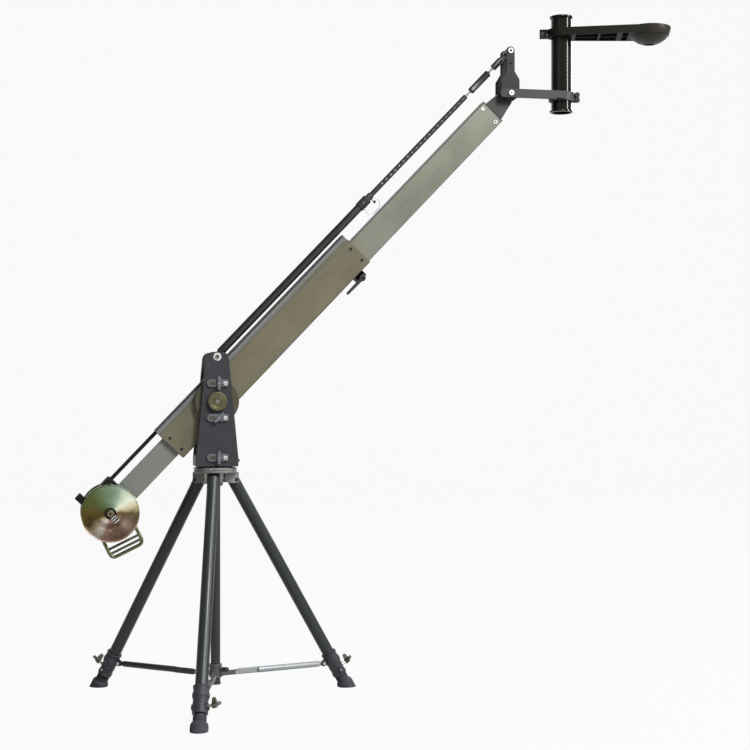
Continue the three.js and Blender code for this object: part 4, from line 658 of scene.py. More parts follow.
def leg_pieces(name):
    at = down_leg(name)
    body = coat = "leg_" + name
    tube = Build(coat, at).pipe("z", *LEG_TUBE).pipe("z", *LEG_SOCKET)
    tube.use("dark").rod("z", *LEG_PLUG).done("leg_tube_" + name, body, "leg_coat")
    clamp_piece(name, at)
    lower = Build(coat, at).pipe("z", *LOWER_TUBE)
    lower.done("lower_leg_" + name, "lower_" + name, "leg_coat")
    foot_piece(name, at)
    towards, reach = 70 if name == "front" else 0, 19.3
    wing_knob(name, at @ spot(0, 0, CLAMP_KNOB_Z) @ turn(towards, "Z") @ spot(reach))
    strut(name)


def clamp_piece(name, at):
    """The moulded clamp at a leg's lower end, with the lug that carries the spreader arm."""
    clamp = Build("clamp", at).lathe([
        (22.6, -774), (27.5, -774), (28.6, -775), (28.9, -778), (28.6, -779.5), (27.1, -780.5),
        (27.1, -799), (27.6, -800), (29.6, -801), (29.9, -806), (29.6, -813), (27.6, -815), (27.1, -816),
        (27.1, -820), (25.5, -826), (25.5, -830), (26.6, -831), (27.1, -834), (26.6, -837), (25.5, -838),
        (25.5, -858), (26.6, -859), (27.1, -862), (27.1, -867), (26.4, -871.4), (19.3, -872),
        (19.3, -826.4), (22.6, -826.2)], closed=True)
    foot, top = -LUG_ALONG - 10, -LUG_ALONG + 10
    ear = rounded([(-22.6, foot), (-22.6, top), (-LUG_OFFSET, top), (-48, top), (-48, foot)],
                  [0, 0, 0, 9, 9])
    gap, width, head = 3.3, 7.3, (7.4, 10.4)
    pin, pin_radius, head_radius = spot(-LUG_OFFSET, 0, -LUG_ALONG), 3.5, 6.2
    clamp.use("steel").rod("y", pin_radius, -width, width, pin)
    for side in SIDES:
        clamp.use("clamp").slab(ear, side * gap, side * width)
        clamp.use("steel").rod("y", head_radius, side * head[0], side * head[1], pin, sides=6)
    boss, bolt = ((17, 30), (-7, 7), (-9, 9)), (3.4, 29.5, 32.5)
    for heading in (90, 270):
        screw = turn(heading, "Z") @ spot(0, 0, CLAMP_SCREW_Z)
        clamp.use("clamp").block(*boss, screw, rim=1.2)
        clamp.use("steel").rod("x", *bolt, screw)
    clamp.done("leg_clamp_" + name, "leg_" + name, "dark_casting")


def foot_piece(name, at):
    """A ribbed rubber boot, cut off level with the floor."""
    top, pitch, crest, root = LEG_LENGTH - 52, 4.2, 23.2, 22.0
    ribs = []
    for z in [-top - 3 - step * pitch for step in range(4)]:
        ribs += [(crest, z), (crest, z - 2.0), (root, z - 2.6), (root, z - 3.8)]
    boot = Build("rubber", at).lathe([
        (19.1, -top - 12), (19.1, -top - 1), (20, -top), (22.4, -top), (crest, -top - 0.8), *ribs[1:],
        (22.6, -top - 19), (24.4, -top - 21.5), (28.5, -top - 26), (30.4, -top - 30), (31, -top - 35),
        (31, -top - 90), (0, -top - 90)])
    mesh = boot.mesh
    bmesh.ops.recalc_face_normals(mesh, faces=mesh.faces)
    cut = bmesh.ops.bisect_plane(
        mesh, geom=mesh.verts[:] + mesh.edges[:] + mesh.faces[:], plane_co=(0, 0, 0.02), plane_no=(0, 0, -1),
        clear_outer=True)
    sole = [item for item in cut["geom_cut"] if isinstance(item, bmesh.types.BMEdge)]
    bmesh.ops.contextual_create(mesh, geom=sole)
    boot.done("foot_" + name, "lower_" + name, "black_rubber", soft=True)


def wing_knob(name, at):
    """A thumb knob: a fluted hub on a steel stem, with two rounded wings."""
    stem, half, lean = (4.5, 0, 27), 5.2, 56
    knob = Build("steel", at).rod("x", *stem)
    knob.use("grip").lathe([
        (0, 24), (8.6, 24), (10, 25.2), (10.2, 31), (9.4, 34), (9.4, 38), (8, 40.6), (0, 41)], "x", sides=28)
    blade = rounded([(24, 0), (40, 0), (45, 8), (46.5, 27), (42, 31), (34, 29), (27, 12)],
                    [1, 2, 3, 4, 4, 4, 3])
    for side in SIDES:
        knob.slab(blade, -half, half, at=turn(side * lean, "X"), rim=2.0)
    knob.done("leg_knob_" + name, "leg_lock_" + name, "black_plastic")


def strut(name):
    """A spreader arm: a tube with a flat tongue at either end and a block beside the hub's pin."""
    start, end, flat, half = 90.0, ARM_LENGTH - 17, 8.0, 3.0
    # Copies of one strut in two finishes, painted light and shade: the right one, which faces the lamps, is
    # lighter, and the others take the dark leg finish
    bar = Build("satin" if name == "right" else "leg_" + name, spoke(name) @ spot(EAR_R, 0, SPREADER_Z))
    bar.lathe([(0, start), (6, start), (9.6, start + 2), (11, start + 8), (11, end - 8), (9.6, end - 2),
               (6, end), (0, end)], "x")
    inner = arc(0, 0, flat, 90, 270, 10) + [(start + 4, -flat), (start + 4, flat)]
    bar.slab(inner, 0.3, 6.3, rim=0.7).block((13, start + 6), (0.35, 10), (-10.8, 10.8), rim=3.0)
    outer = arc(ARM_LENGTH, 0, flat, -90, 90, 10) + [(end - 4, flat), (end - 4, -flat)]
    bar.slab(outer, -half, half, rim=0.7).done("spreader_arm_" + name, "arm_" + name, "steel")


def hub_pieces():
    hub = Build("casting", spot(0, 0, SPREADER_Z)).lathe([
        (18, -14), (20.4, -14), (21.6, -12.8), (21.6, 24), (22.4, 25), (23.6, 26), (23.6, 34.6), (22.4, 36),
        (18, 36)], closed=True)
    ear = arc(EAR_R, 0, 9, -90, 90) + [(34, 9), (20.5, 12), (20.5, -12), (34, -9)]
    for name in LEG_AZIMUTHS:
        pin = spoke(name) @ spot(EAR_R, 0, 0)
        hub.use("casting").slab(ear, -6.3, -0.3, at=spoke(name))
        hub.use("steel").rod("y", 6, -10.3, -6.2, pin, sides=6, rim=0.8).rod("y", 3.4, -0.4, 7.4, pin)
        hub.rod("y", 5.6, 6.5, 9.5, pin, sides=6, rim=0.8)
    boss = spoke("front") @ turn(62, "Z") @ spot(0, 0, 18)
    hub.use("casting").rod("x", 7.5, 20.6, 28, boss).done("spreader_hub", "hub", "dark_casting")
    knob = Build("steel", hub.at @ boss).rod("x", 4, 18.5, 31)
    knob.use("plastic").lathe(knurled(9, 29.6, 53.6), "x", sides=36)
    knob.done("hub_knob", "hub_lock", "black_plastic")


def knurled(radius, start, end, grooves=4):
    """The profile of a round knob with shallow rings."""
    out = [(0, start), (radius - 1.6, start), (radius, start + 1.4)]
    span = (end - start - 8) / grooves
    for a in [start + 4 + step * span for step in range(grooves)]:
        out += [(radius, a), (radius - 0.7, a + span * 0.3), (radius - 0.7, a + span * 0.6),
                (radius, a + span * 0.9)]
    return out + [(radius, end - 2), (radius - 1.2, end - 0.4), (radius - 3, end), (0, end)]


def crown_pieces():
    crown = Build("crown").lathe([
        (0, 828), (20, 828), (20, 826), (72, 826), (75, 825.2), (77, 826), (78.5, 828), (78.5, 832),
        (77.2, 833), (77.2, 836), (78.5, 837), (78.5, 842.6), (76.5, 845), (21.2, 845), (20.6, 844.4),
        (20.6, 828.2), (0, 828.2)], sides=96)
    neck, pin_radius, washer = (26, 17.9, 778, CROWN_FLOOR), 5, 0.1
    crown.use("casting").pipe("z", *neck, rim=1.5)
    cheek = rounded([(22, CROWN_FLOOR), (22, 806), (36, 790), (58, 787), (79, 789), (79, CROWN_FLOOR)],
                    [0, 8, 10, 8, 7, 0])
    for name in LEG_AZIMUTHS:
        pin = spoke(name) @ spot(HINGE_R, 0, HINGE_Z)
        crown.use("screw").rod("y", pin_radius, -CHEEK_OUT - 0.3, CHEEK_OUT + 0.3, pin)
        for side in SIDES:
            crown.use("crown").slab(cheek, side * CHEEK_IN, side * CHEEK_OUT, at=spoke(name), rim=1.0)
            crown.use("screw").bolt(side, CHEEK_OUT + washer, 6.4, 3, 3.0, pin)
    for step in range(6):
        crown.use("steel").rod("x", 3.2, 77.8, 79.4, turn(step * 60 + 12, "Z") @ spot(0, 0, 840), sides=20)
    crown.done("crown", "base", "dark_casting")
    column = Build("column").lathe([
        (0, 58), (17.5, 58), (19.2, 59), (19.5, 60.5), (19.5, 65.5), (19, 66.6), (17.5, 67), (17.5, 814),
        (15, 814.6), (15, 67.2), (0, 67.2)])
    column.done("centre_column", "base", "leg_coat")


# Pan head and yoke

YOKE_INSIDE, YOKE_FACE, KEEPER_FACE = 56.0, 68.0, 73.0
YOKE_FOOT, YOKE_TOP = 850.0, 1262.0
BRAKE_AT = spot(0, 0, 869.5)
# The latches on the near plate, from the top: height and turn
LATCHES = {"upper": (1149, 0), "middle": (1025, 45), "lower": (882, 0)}


def yoke_plate(side, node):
    top, foot = 40.0, 76.0
    outline = rounded([(-foot, YOKE_FOOT), (foot, YOKE_FOOT), (foot, 880), (top, YOKE_TOP), (-top, YOKE_TOP),
                       (-foot, 880)], [3, 3, 6, 30, 30, 6], steps=10)
    plate = Build("yoke").slab(outline, side * YOKE_INSIDE, side * YOKE_FACE, rim=1.4)
    through = (side * (YOKE_INSIDE - 2), side * (YOKE_FACE + 2))
    holes = Build("dark").rod("y", 15.5, *through, PIVOT_AT, sides=48, rim=FINE_RIM)
    plate.carve(holes.rod("y", 6.3, *through, YOKE_PIN_AT, sides=32, rim=FINE_RIM))
    for height, _ in LATCHES.values():
        if side < 0:
            keeper(plate, spot(0, 0, height))
        else:
            plate.use("steel").bolt(side, YOKE_FACE, 6.5, 3.5, 3, spot(0, 0, height))
    plate.done(node, "pan", "yoke_coat")


def keeper(plate, at):
    """A latch's keeper: a long pad with a framed slot at its left and a bolted block at its right."""
    slot_at, bolt_at = at @ spot(-18), at @ spot(28)
    pad, frame_shape, shadow, slot = stadium(38, 14), stadium(13.2, 8.2), stadium(12, 7), stadium(11.4, 6.4)
    top, under = -KEEPER_FACE, -KEEPER_FACE + 0.1
    plate.use("latch").slab(pad, top, -YOKE_FACE + 0.1, at=at, rim=1.2)
    plate.slab(frame_shape, top - 0.6, under, at=slot_at, rim=0.3)
    plate.block((14, 39.5), (top - 1.6, top + 0.2), (-12.5, 12.5), at, corner=6)
    plate.use("dark").slab(shadow, top - 0.15, under, at=slot_at, rim=0.05)
    plate.use("slot").slab(slot, top - 0.8, top - 0.4, at=slot_at, rim=0.05)
    plate.use("silver").bolt(-1, KEEPER_FACE + 1.4, 7, 3.4, 2.8, bolt_at)


def latch_lever(name, height, angle):
    lever = Build("latch", spot(5, 0, height) @ turn(angle, "Y"))
    wing = [(-6.6, -17), (-7.2, 0), (-6.6, 17), (-4.8, 22.5), (0, 25), (4.8, 22.5), (6.6, 17), (7.2, 0),
            (6.6, -17), (4.8, -22.5), (0, -25), (-4.8, -22.5)]
    seat, front = -KEEPER_FACE - 0.4, -82.3
    lever.slab(wing, front, -75.2, rim=2.4).rod("y", 7, front + 0.3, seat, rim=1.2)
    lever.slab(rounded([(0, -6), (14, -5), (14, 5), (0, 6)], [0, 3, 3, 0]), -77.3, seat)
    lever.use("steel").rod("y", 3.4, front - 0.3, -YOKE_FACE - 0.8)
    lever.done("latch_lever_" + name, "latch_" + name, "dark_casting")


def yoke_pieces():
    half, width, top = 76, YOKE_INSIDE - 0.3, 889
    base = Build("casting").block((-half, half), (-width, width), (YOKE_FOOT - 0.3, top), rim=1.2, corner=3)
    # A thin dark disc between the crown and the pan base: painted shadow for the gap between them
    base.use("dark").lathe([(0, 845.3), (60.5, 845.3), (61.5, 846), (61.5, 849), (60.5, 849.9), (0, 849.9)])
    base.use("steel").rod("z", 20, 815.5, 846).use("casting").rod("x", 10.5, 75.5, 76.6, BRAKE_AT)
    base.done("pan_base", "pan", "dark_casting")
    for side, node in zip(SIDES, ("yoke_plate_right", "yoke_plate_left")):
        yoke_plate(side, node)

    shank, spacer, washer, washer_top = 6, 11, 14.2, YOKE_FACE + 1.2
    pin = Build("steel", YOKE_PIN_AT).rod("y", shank, -YOKE_FACE - 0.6, YOKE_FACE + 0.6)
    for side in SIDES:
        pin.use("steel").rod("y", spacer, side * 12.5, side * (YOKE_INSIDE - 0.3))
        pin.use("silver").rod("y", washer, side * (YOKE_FACE - 0.1), side * washer_top, rim=0.4)
        pin.use("steel").bolt(side, washer_top - 0.1, 9.2, 3.2, 3.0)
    pin.done("yoke_pin", "pan", "steel")

    brake = Build("plastic", BRAKE_AT).lathe([
        (0, 64.5), (4, 64.5), (4, 76.3), (8, 76.3), (9, 77.5), (9, 82.6), (6.4, 84.4), (4.4, 86.4), (3, 88.3),
        (0, 88.3)], "x", sides=32)
    brake.done("pan_brake_knob", "pan_lock", "black_plastic")
    for name, (height, angle) in LATCHES.items():
        latch_lever(name, height, angle)

    knob = Build("turned", PIVOT_AT).lathe([
        (0, -68.3), (31, -68.3), (34, -71.3), (34, -78.6), (33.4, -80.6), (31.6, -81.3), (24, -80.8),
        (22, -79.9), (14, -79.9), (13, -81.0), (11.4, -81.0), (10.6, -78.6), (0, -78.4)], "y", sides=72)
    knob.use("steel").rod("y", 7, -80.4, -78, sides=6).use("dark").rod("y", 2.8, -80.6, -80.3)
    knob.done("pivot_knob", "tilt_lock", "bronze_anodised")


# Boom

SLEEVE_START, SLEEVE_END = -229.0, 762.0
SLEEVE_FACE = 35.0
BEHIND = (SLEEVE_START + 0.2, SLEEVE_START + 10)
CLAMP_X = (680, 720)
CLAMP_PIN = spot(697, 0, -75)


def bearing_disc(side, node):
    profile = [(0, 35.3), (78, 35.3), (80, 37.3), (80, 44), (79, 44.6), (79, 46.4), (80, 47), (80, 53.5),
               (78, 55.5), (22, 55.5), (21, 55.9), (15, 55.9), (15, 68), (0, 68)]
    disc = Build("umber", BOOM_AT).lathe(mirrored(side, profile), "y", sides=96)
    if side > 0:
        disc.lathe([(0, 67.7), (15, 67.7), (15, 68.3), (22.6, 68.3), (24, 69.7), (24, 74.6), (22, 76.3),
                    (0, 76.3)], "y")
        disc.use("steel").bolt(side, 76.2, 7, 3, 3)
    disc.done(node, "boom", "bronze_anodised")


def countersunk(build, at, face, side, radius=5.0):
    """A flat screw sunk just proud of a side face, with a dark hexagon on it: painted shade for its socket.
    """
    layers = (("dark", radius + 0.9, 0.12, None, 0.02), ("screw", radius, 0.35, None, 0.15),
              ("dark", radius * 0.48, 0.42, 6, 0.02))
    for name, size, proud, sides, rim in layers:
        build.use(name).rod("y", size, side * face, side * (face + proud), at, sides, rim)


def sleeve_pieces():
    start, end, low, high = SLEEVE_START, SLEEVE_END, -55, 62
    sleeve = Build("grey", BOOM_AT).box_tube(start, end, 69.4, -2 * low, 3.4, corner=2.5)
    panel = rounded([(start, low), (end, low), (end, high), (start, high)], 1.2)
    along = (start + 0.2, end - 0.2)
    for side in SIDES:
        sleeve.use("bronze").slab(panel, side * (SLEEVE_FACE - 4), side * SLEEVE_FACE, rim=0.9)
        sleeve.use("umber").block(along, (side * 34.2, side * 35.15), (-54.9, -51.8), rim=0.1)
        for x in (start + 18, end - 18):
            for z in (-29, 29):
                countersunk(sleeve, spot(x, 0, z), SLEEVE_FACE, side)
        sleeve.use("grey").block(BEHIND, (side * 22.6, side * 33.5), (-53, 53), rim=0.5)
        sleeve.use("case").block(CLAMP_X, (side * 1.5, side * 26), (-80, -54.6), rim=1.2, corner=8)
    sleeve.block(CLAMP_X, (-26, 26), (-66, -54.6))
    for z in ((-53, -35.6), (45.6, 53)):
        sleeve.use("grey").block(BEHIND, (-23, 23), z, rim=0.5)
    sleeve.use("steel").bolt(1, 26, 6, 4, 3, CLAMP_PIN).done("boom_sleeve", "boom", "bronze_anodised")

    width, height, wall, rise = 48, 31.2, 3, 70.9
    rail = Build("grey", BOOM_AT).box_tube(start, end, width, height, wall, rise=rise, corner=2.0)
    stop, foot = (start + 0.4, start + 10), 57
    for side in SIDES:
        rail.block(stop, (side * 7.6, side * 22.8), (foot, 85), rim=0.4)
    rail.block(stop, (-8, 8), (foot, 68), rim=0.4)
    # A dark cap along the rail's top: painted shade that stands for its top face
    shaded_top, half = (79, 86.8), width / 2 + 0.2
    rail.use("clamp").block((start + 0.6, end - 0.6), (-half, half), shaded_top, rim=0.5)
    rail.done("top_rail", "boom", "grey_anodised")
    for side, node in zip(SIDES, ("bearing_disc_right", "bearing_disc_left")):
        bearing_disc(side, node)

    lever = Build("plastic", BOOM_AT @ CLAMP_PIN).lathe([
        (0, -26.3), (10.8, -26.3), (12, -27.6), (12.3, -30), (12.3, -43), (11.4, -45.4), (9.8, -46.3),
        (6, -46.3), (5.6, -45.2), (0, -45.2)], "y", sides=48)
    edge = [(4, 8.4), (-14, 6.6), (-40, 5.7), (-76, 5.4)]
    arm = edge + arc(-79, 0, 5.2, 95, 265, 8) + [(x, -z) for x, z in edge[::-1]]
    lever.slab(arm, -46.2, -38.2, rim=1.8)
    lever.use("screw").rod("y", 4.6, -46.9, -45, sides=6).use("steel").rod("y", 4, -27, -3.2)
    lever.done("clamp_lever", "boom_lock", "black_plastic")


def front_pieces():
    start, end, width, height = 520, 1496.5, 61, 101
    tube = Build("pale", BOOM_AT).box_tube(start, end, width, height, 3, corner=3.2)
    tube.use("black_link").box_tube(end - 2, end + 3.5, width + 0.6, height + 0.6, 4.4, corner=3.4, rim=0.8)
    sunk, face = width / 2 - 0.2, width / 2
    along, lines = (SLEEVE_END + 1, 1494), ((45.4, 49.8), (-49.9, -48.2))
    for side in SIDES:
        for line in lines:
            tube.use("casting").block(along, (side * sunk, side * (face + 0.22)), line, rim=0.1)
        for screw in (spot(1478, 0, -34), spot(1478, 0, 34)):
            tube.use("dark").rod("y", 8.8, side * sunk, side * (face + 0.2), screw)
            tube.use("silver").bolt(side, face, 7.4, 0.4, 2.6, screw)
    tube.done("front_tube", "front", "pale_anodised")

    body = [(1500.3, -44), (1578, -28)] + arc(BOOM, 0, 28, -118, 70, 16) + [(1544, 33), (1500.3, 37)]
    tip = Build("paint", BOOM_AT).slab(body, -25, 25, rim=1.4).rod("y", 20, -35.5, 35.5, spot(BOOM), rim=1.2)
    tip.use("dark").block((1446, 1500.6), (-27, 27), (-47, 47), rim=0.6)
    tip.done("tip_bracket", "front", "grey_paint")


def rear_pieces():
    end, width, height, rise = -520, 44, 80, 5
    tube = Build("grey", BOOM_AT).box_tube(end, 60, width, height, 3, rise=rise, corner=3)
    tube.done("rear_tube", "rear", "grey_anodised")

    half, clearance = 44, 0.3
    bracket = Build("case", BOOM_AT)
    shape = rounded([(-457, -46), (-457, 92), (-598, 92), (-598, -46)], [6, 10, 6, 14])
    bracket.slab(shape, -half, half, rim=1.6)
    bracket.block((-598, -571), (-20, 20), (91, 124), rim=1.2, corner=3)
    bracket.rod("x", 7, end, -120, spot(0, 0, 78))
    for side in SIDES:
        for x in (-474, -500):
            bracket.use("steel").bolt(side, half, 4.6, 2.2, 2.4, spot(x, 0, 66))
    across, up = width / 2 + clearance, height / 2 + clearance
    mouth = Build("dark", BOOM_AT)
    mouth.block((end + clearance, -450), (-across, across), (rise - up, rise + up), rim=0.2)
    bracket.carve(mouth)
    bracket.done("ballast_bracket", "rear", "black_anodised")

    half = 91
    bar = Build("turned", BALLAST_AT).rod("y", 12.5, -half, half, rim=1.5)
    collar = [(12.2, 78.5), (20, 78.5), (21, 79.5), (21, 83.6), (19.6, 84.6), (12.2, 84.6)]
    for side in SIDES:
        bar.use("case").lathe(mirrored(side, collar), "y", sides=56, closed=True)
        bar.use("dark").rod("y", 4.2, side * (half - 1), side * (half + 0.25), rim=0.05)
    clip = turn(ELEVATION + 50, "Y")
    bar.block((0, 36), (-89.6, -84.4), (-10.5, 10.5), clip, corner=2)
    for x in (17, 25, 34.5):
        bar.use("silver").block((x - 1.3, x + 1.3), (-90.4, -89.2), (-10.4, 10.4), clip, rim=0.3)
    bar.done("ballast_bar", "rear", "steel")

    profile = [(13, 56.2), (99.5, 56.2), (101.6, 57), (102.5, 59), (102.5, 78.2), (101.6, 80.4), (99.5, 81.2),
               (96, 81.2), (94.5, 80.7), (60, 79.9), (58, 78.6), (34, 78.2), (13, 78.2)]
    for side, node in zip(SIDES, ("weight_disc_right", "weight_disc_left")):
        disc = Build("zinc", BALLAST_AT).lathe(mirrored(side, profile), "y", sides=128, closed=True)
        disc.done(node, "rear", "zinc_plate")


def handle_piece():
    """The hand rail: a loop of rod with two rungs, hung beside the near weight by an eye."""
    y, foot, start = -50.1, -148.5, -46.0
    left, right = -65.0, 58.0
    loop = rounded([(left, start), (left, foot), (right, foot), (right, start)], [0, 20, 20, 0], steps=12)
    handle = Build("olive", HANDLE_AT).sweep([(x, y, z) for x, z in loop], 6.4, 20)
    for step in (1, 2):
        handle.use("umber").rod("x", 4.6, left, right, spot(0, y, foot + step * 17))
    handle.use("olive").rod("x", 6.2, left - 2, right + 2, spot(0, y, start), rim=2.5)
    handle.pipe("y", 20, 12.9, y - 5.8, y + 5.8, rim=0.9)
    handle.block((-5.5, 5.5), (y - 5.6, y + 5.6), (start, -18), rim=1.2)
    handle.done("rear_handle", "handle", "olive_zinc")


# Levelling link

def threads(start, count, crest=4.4, root=3.8, pitch=2.2):
    """The profile of a thread's crests and roots."""
    starts = [start + step * pitch for step in range(count)]
    return [point for x in starts for point in ((crest, x), (root, x + pitch / 2))]


def link_pieces():
    eye, bearing, rod_eye = (15, 6.7, -12, 12), (8.6, 6.5, -8.4, 8.4), (13, 8.6, -9, 9)
    tube = Build("black_link", LINK_AT).lathe([
        (13, 24), (14, 24), (15, 26), (15, 766.6), (14.2, 767.7), (13, 767.7)], "x", sides=48, closed=True)
    tube.lathe([(0, 23.6), (12, 23.6), (14.2, 24.6), (14.2, 40), (0, 40)], "x")
    tube.rod("x", 11.4, 6, 30).pipe("y", *eye, rim=1.0).done("link_tube", "link", "black_anodised")

    collar = Build("plastic", LINK_AT).lathe([
        (10, 768), (16, 768), (18, 770), (18, 778), (17.2, 779), (17.2, 781), (18, 782), (18, 800),
        (17.2, 801), (17.2, 803), (18, 804), (18, 812), (16, 814), (13, 814.6), (13, 832), (12, 834),
        (10, 834)], "x", closed=True)
    collar.use("steel").rod("z", 3, -21.2, -15, spot(779)).bolt(-1, 16.6, 3.2, 2.2, 1.6, spot(791))
    collar.done("link_collar", "link", "black_plastic")

    plunger_x, stem = 825, (4, -23, -10)
    plunger = Build("steel", LINK_AT @ spot(plunger_x)).rod("z", *stem)
    plunger.use("plastic").lathe([
        (0, -22), (4.2, -22), (5, -22.8), (5, -24.4), (4.4, -25), (4.4, -26), (5, -26.6), (5, -28.2),
        (4.4, -28.8), (5, -29.4), (4.2, -31.2), (0, -31.2)], sides=24)
    plunger.done("index_plunger", "plunger", "black_plastic")
    lanyard_piece()

    rod = Build("black_link", LINK_AT).rod("x", 9.5, 395, 1357, sides=40, rim=1.0)
    holes, last_hole, pitch, hole = Build("dark", LINK_AT), 1343, 23.6, (3.8, -12, 12)
    for step in range(20):
        holes.rod("y", *hole, spot(last_hole - pitch * step), sides=20, rim=FINE_RIM)
    stud = [(0, 1356)] + threads(1356.5, 13) + [(3.5, 1386), (3.5, 1407), (0, 1407.6)]
    rod.carve(holes).use("steel").lathe(stud, "x", sides=20).done("pierced_rod", "rod", "black_anodised")

    nut = Build("black_link", LINK_AT).lathe([
        (4, 1384), (9.5, 1384), (13.2, 1387), (13.2, 1393), (12.6, 1394), (12.6, 1474), (13.2, 1475),
        (13.2, 1481), (9.5, 1484), (4, 1484)], "x", sides=40, closed=True)
    nut.done("turnbuckle", "rod", "black_anodised")

    stud = [(0, 1461)] + threads(1461, 12, 3.5, 2.9) + threads(1487.4, 11) + [(4.4, 1511), (0, 1511.5)]
    end = Build("steel", LINK_AT).lathe(stud, "x", sides=20)
    end.pipe("y", *bearing, spot(BOOM), rim=0.4)
    end.use("black_link").lathe([
        (0, 1510), (10.4, 1510), (12.2, 1511.6), (12.2, 1550), (10.8, 1554), (8.6, 1560), (8.4, 1582),
        (0, 1582)], "x", sides=32)
    end.pipe("y", *rod_eye, spot(BOOM), rim=1.2).done("rod_end", "rod", "black_anodised")


# The lanyard's run in the link's own frame: it leans to the far side and ends beside the plunger's grip
LANYARD_ROUTE = [
    (779, 0, -21.3), (778.6, 1, -27), (777.6, 8, -33), (777.4, 18, -36.4), (779.2, 26.8, -40.2),
    (785, 29.6, -48), (794, 30, -54), (806, 30, -56.1), (820, 30, -56.1), (832, 29.8, -53.4),
    (841, 28.6, -46.5), (845.4, 24, -38.5), (845.8, 14, -33.5), (843.5, 5, -29.8), (838.5, 0.6, -27.4),
    (830.3, 0, -27.3),
]
WIRE_RADIUS = 0.85


def smooth_line(points, steps=6):
    """A line drawn through points with rounded turns."""
    line = [Vector(point) for point in points]
    out = []
    padded = zip(line[:1] + line, line, line[1:], line[2:] + line[-1:])
    for before, here, after, beyond in padded:
        for t in [k / steps for k in range(steps)]:
            out.append(0.5 * (2 * here + (after - before) * t
                              + (2 * before - 5 * here + 4 * after - beyond) * t ** 2
                              + (3 * here - before - 3 * after + beyond) * t ** 3))
    return out + line[-1:]


def lanyard_piece():
    points = smooth_line(LANYARD_ROUTE)
    wire = Build("steel", LINK_AT).sweep(points, WIRE_RADIUS, 10)
    piece = wire.done("plunger_lanyard", "link", "steel", smooth=80)


# Camera head

HEAD_INSIDE, HEAD_FACE = 36.0, 44.0


def head_plate(side, node):
    points = [(-12, -26), (12, -26), (35, -8), (35, 53), (16, 84)] + arc(0, LINK_RISE, 16, 0, 180, 16)
    points += [(-16, 84), (-35, 53), (-35, -8)]
    outline = rounded(points, [3, 3, 5, 10, 12] + [0] * 17 + [12, 10, 5], steps=5)
    # Painted shade: the plate's body, edges and inner face are in the dark shade coat; only an inset skin on
    # its outer face takes the plate coat
    plate = Build("shade", HEAD_AT).slab(outline, side * HEAD_INSIDE, side * HEAD_FACE, rim=1.2)
    plate.use("plate").slab(outline, side * (HEAD_FACE - 0.6), side * (HEAD_FACE + 0.1), rim=0.1, inset=1.3)
    if side < 0:
        hole = Build("dark", HEAD_AT @ spot(0, 0, 111))
        plate.carve(hole.rod("y", 4.2, -HEAD_FACE - 2, -HEAD_FACE + 3, sides=24, rim=FINE_RIM))
    plate.done(node, "head", "grey_paint")


def head_pieces():
    for side, node in zip(SIDES, ("head_plate_right", "head_plate_left")):
        head_plate(side, node)
    shank, reach, bolt_face = 6, HEAD_FACE + 0.8, HEAD_FACE + 0.3
    low = Build("steel", HEAD_AT).rod("y", shank, -55, reach)
    top = Build("steel", HEAD_AT @ spot(0, 0, LINK_RISE)).rod("y", shank, -reach, reach)
    for side, face in zip(SIDES, (54.6, bolt_face)):
        low.use("dark").rod("y", 11.6, side * (face - 0.2), side * (face + 0.5))
        low.use("silver").bolt(side, face + 0.4, 10.5, 3.6, 3.2)
        top.use("steel").rod("y", 11, side * 9.5, side * (HEAD_INSIDE - 0.3))
        top.use("silver").bolt(side, bolt_face, 10.5, 4, 3.2)
    low.done("head_pivot_bolt", "head", "steel")
    top.done("head_link_bolt", "head", "steel")
    lower_arm_piece()

    riser = Build("black_gloss", HEAD_AT @ spot(RISER_X)).lathe([
        (35.5, -58), (43, -58), (44.5, -56.5), (44.5, -51.5), (43, -50), (39.5, -50), (38.5, -49),
        (38.5, 297), (39.5, 298), (43, 298), (44.5, 299.5), (44.5, 304.5), (43, 306), (36.5, 306),
        (35.5, 305)], sides=96, closed=True)
    riser.use("dark").lathe([(0, 296), (35.4, 296), (35.4, 299), (0, 299)]).use("steel")
    for step in range(6):
        for height in (-54, 302):
            riser.rod("x", 2.2, 44, 44.9, turn(60 * step + 20, "Z") @ spot(0, 0, height), sides=16, rim=0.1)
    riser.done("riser_tube", "head", "black_anodised")


def lower_arm_piece():
    """A flat bar on the near head plate, which ends in the split ring that grips the riser."""
    half, ring, jaws = 16.5, 48.5, (RISER_X + 39.5, RISER_X + 68.5)
    arm = Build("paint", HEAD_AT)
    bar = rounded([(-39, -half), (RISER_X - 34, -half), (RISER_X - 34, half), (-39, half)], [9, 0, 0, 9])
    arm.slab(bar, -54.3, -44.3, rim=1.0)
    arm.block((RISER_X - ring, RISER_X), (-54.2, -38.2), (-12, 16.4), rim=1.0)
    arm.pipe("z", ring, 38.8, -half, half, spot(RISER_X), sides=80, rim=1.2)
    for side in SIDES:
        arm.use("paint").block(jaws, (side * 1.5, side * 11), (-half, half), rim=1.2)
        screw = spot(RISER_X + 58.5, 0, side * 10)
        arm.use("plastic").lathe([
            (0, -17.7), (8.6, -17.7), (9.6, -17), (9.6, -16.3), (8.9, -15.9), (8.9, -15.4), (9.6, -15),
            (9.6, -14.2), (8.9, -13.8), (8.9, -13.3), (9.6, -12.9), (9.6, -11.5), (8.6, -10.7), (0, -10.7)],
            "y", screw, sides=40)
        arm.use("screw").rod("y", 3.4, -18.3, -17.4, screw, sides=6).rod("y", 5.5, 10.8, 13.4, screw, sides=6)
    arm.done("lower_arm", "head", "grey_paint")


# The camera arm's plan: half its width at the riser and at the bowl, and where its cells begin and end
BOWL_X = 330.0
ROOT_HALF = 52.0
END_HALF = 81.8
ARM_HALF = 15.0
CELLS = [(52.5, 137.2), (144.2, 207.1), (227.1, 248.5)]
RIB, WALL = 2.5, 5.0
CLAMP_SCREW = spot(-73, 0, -7)


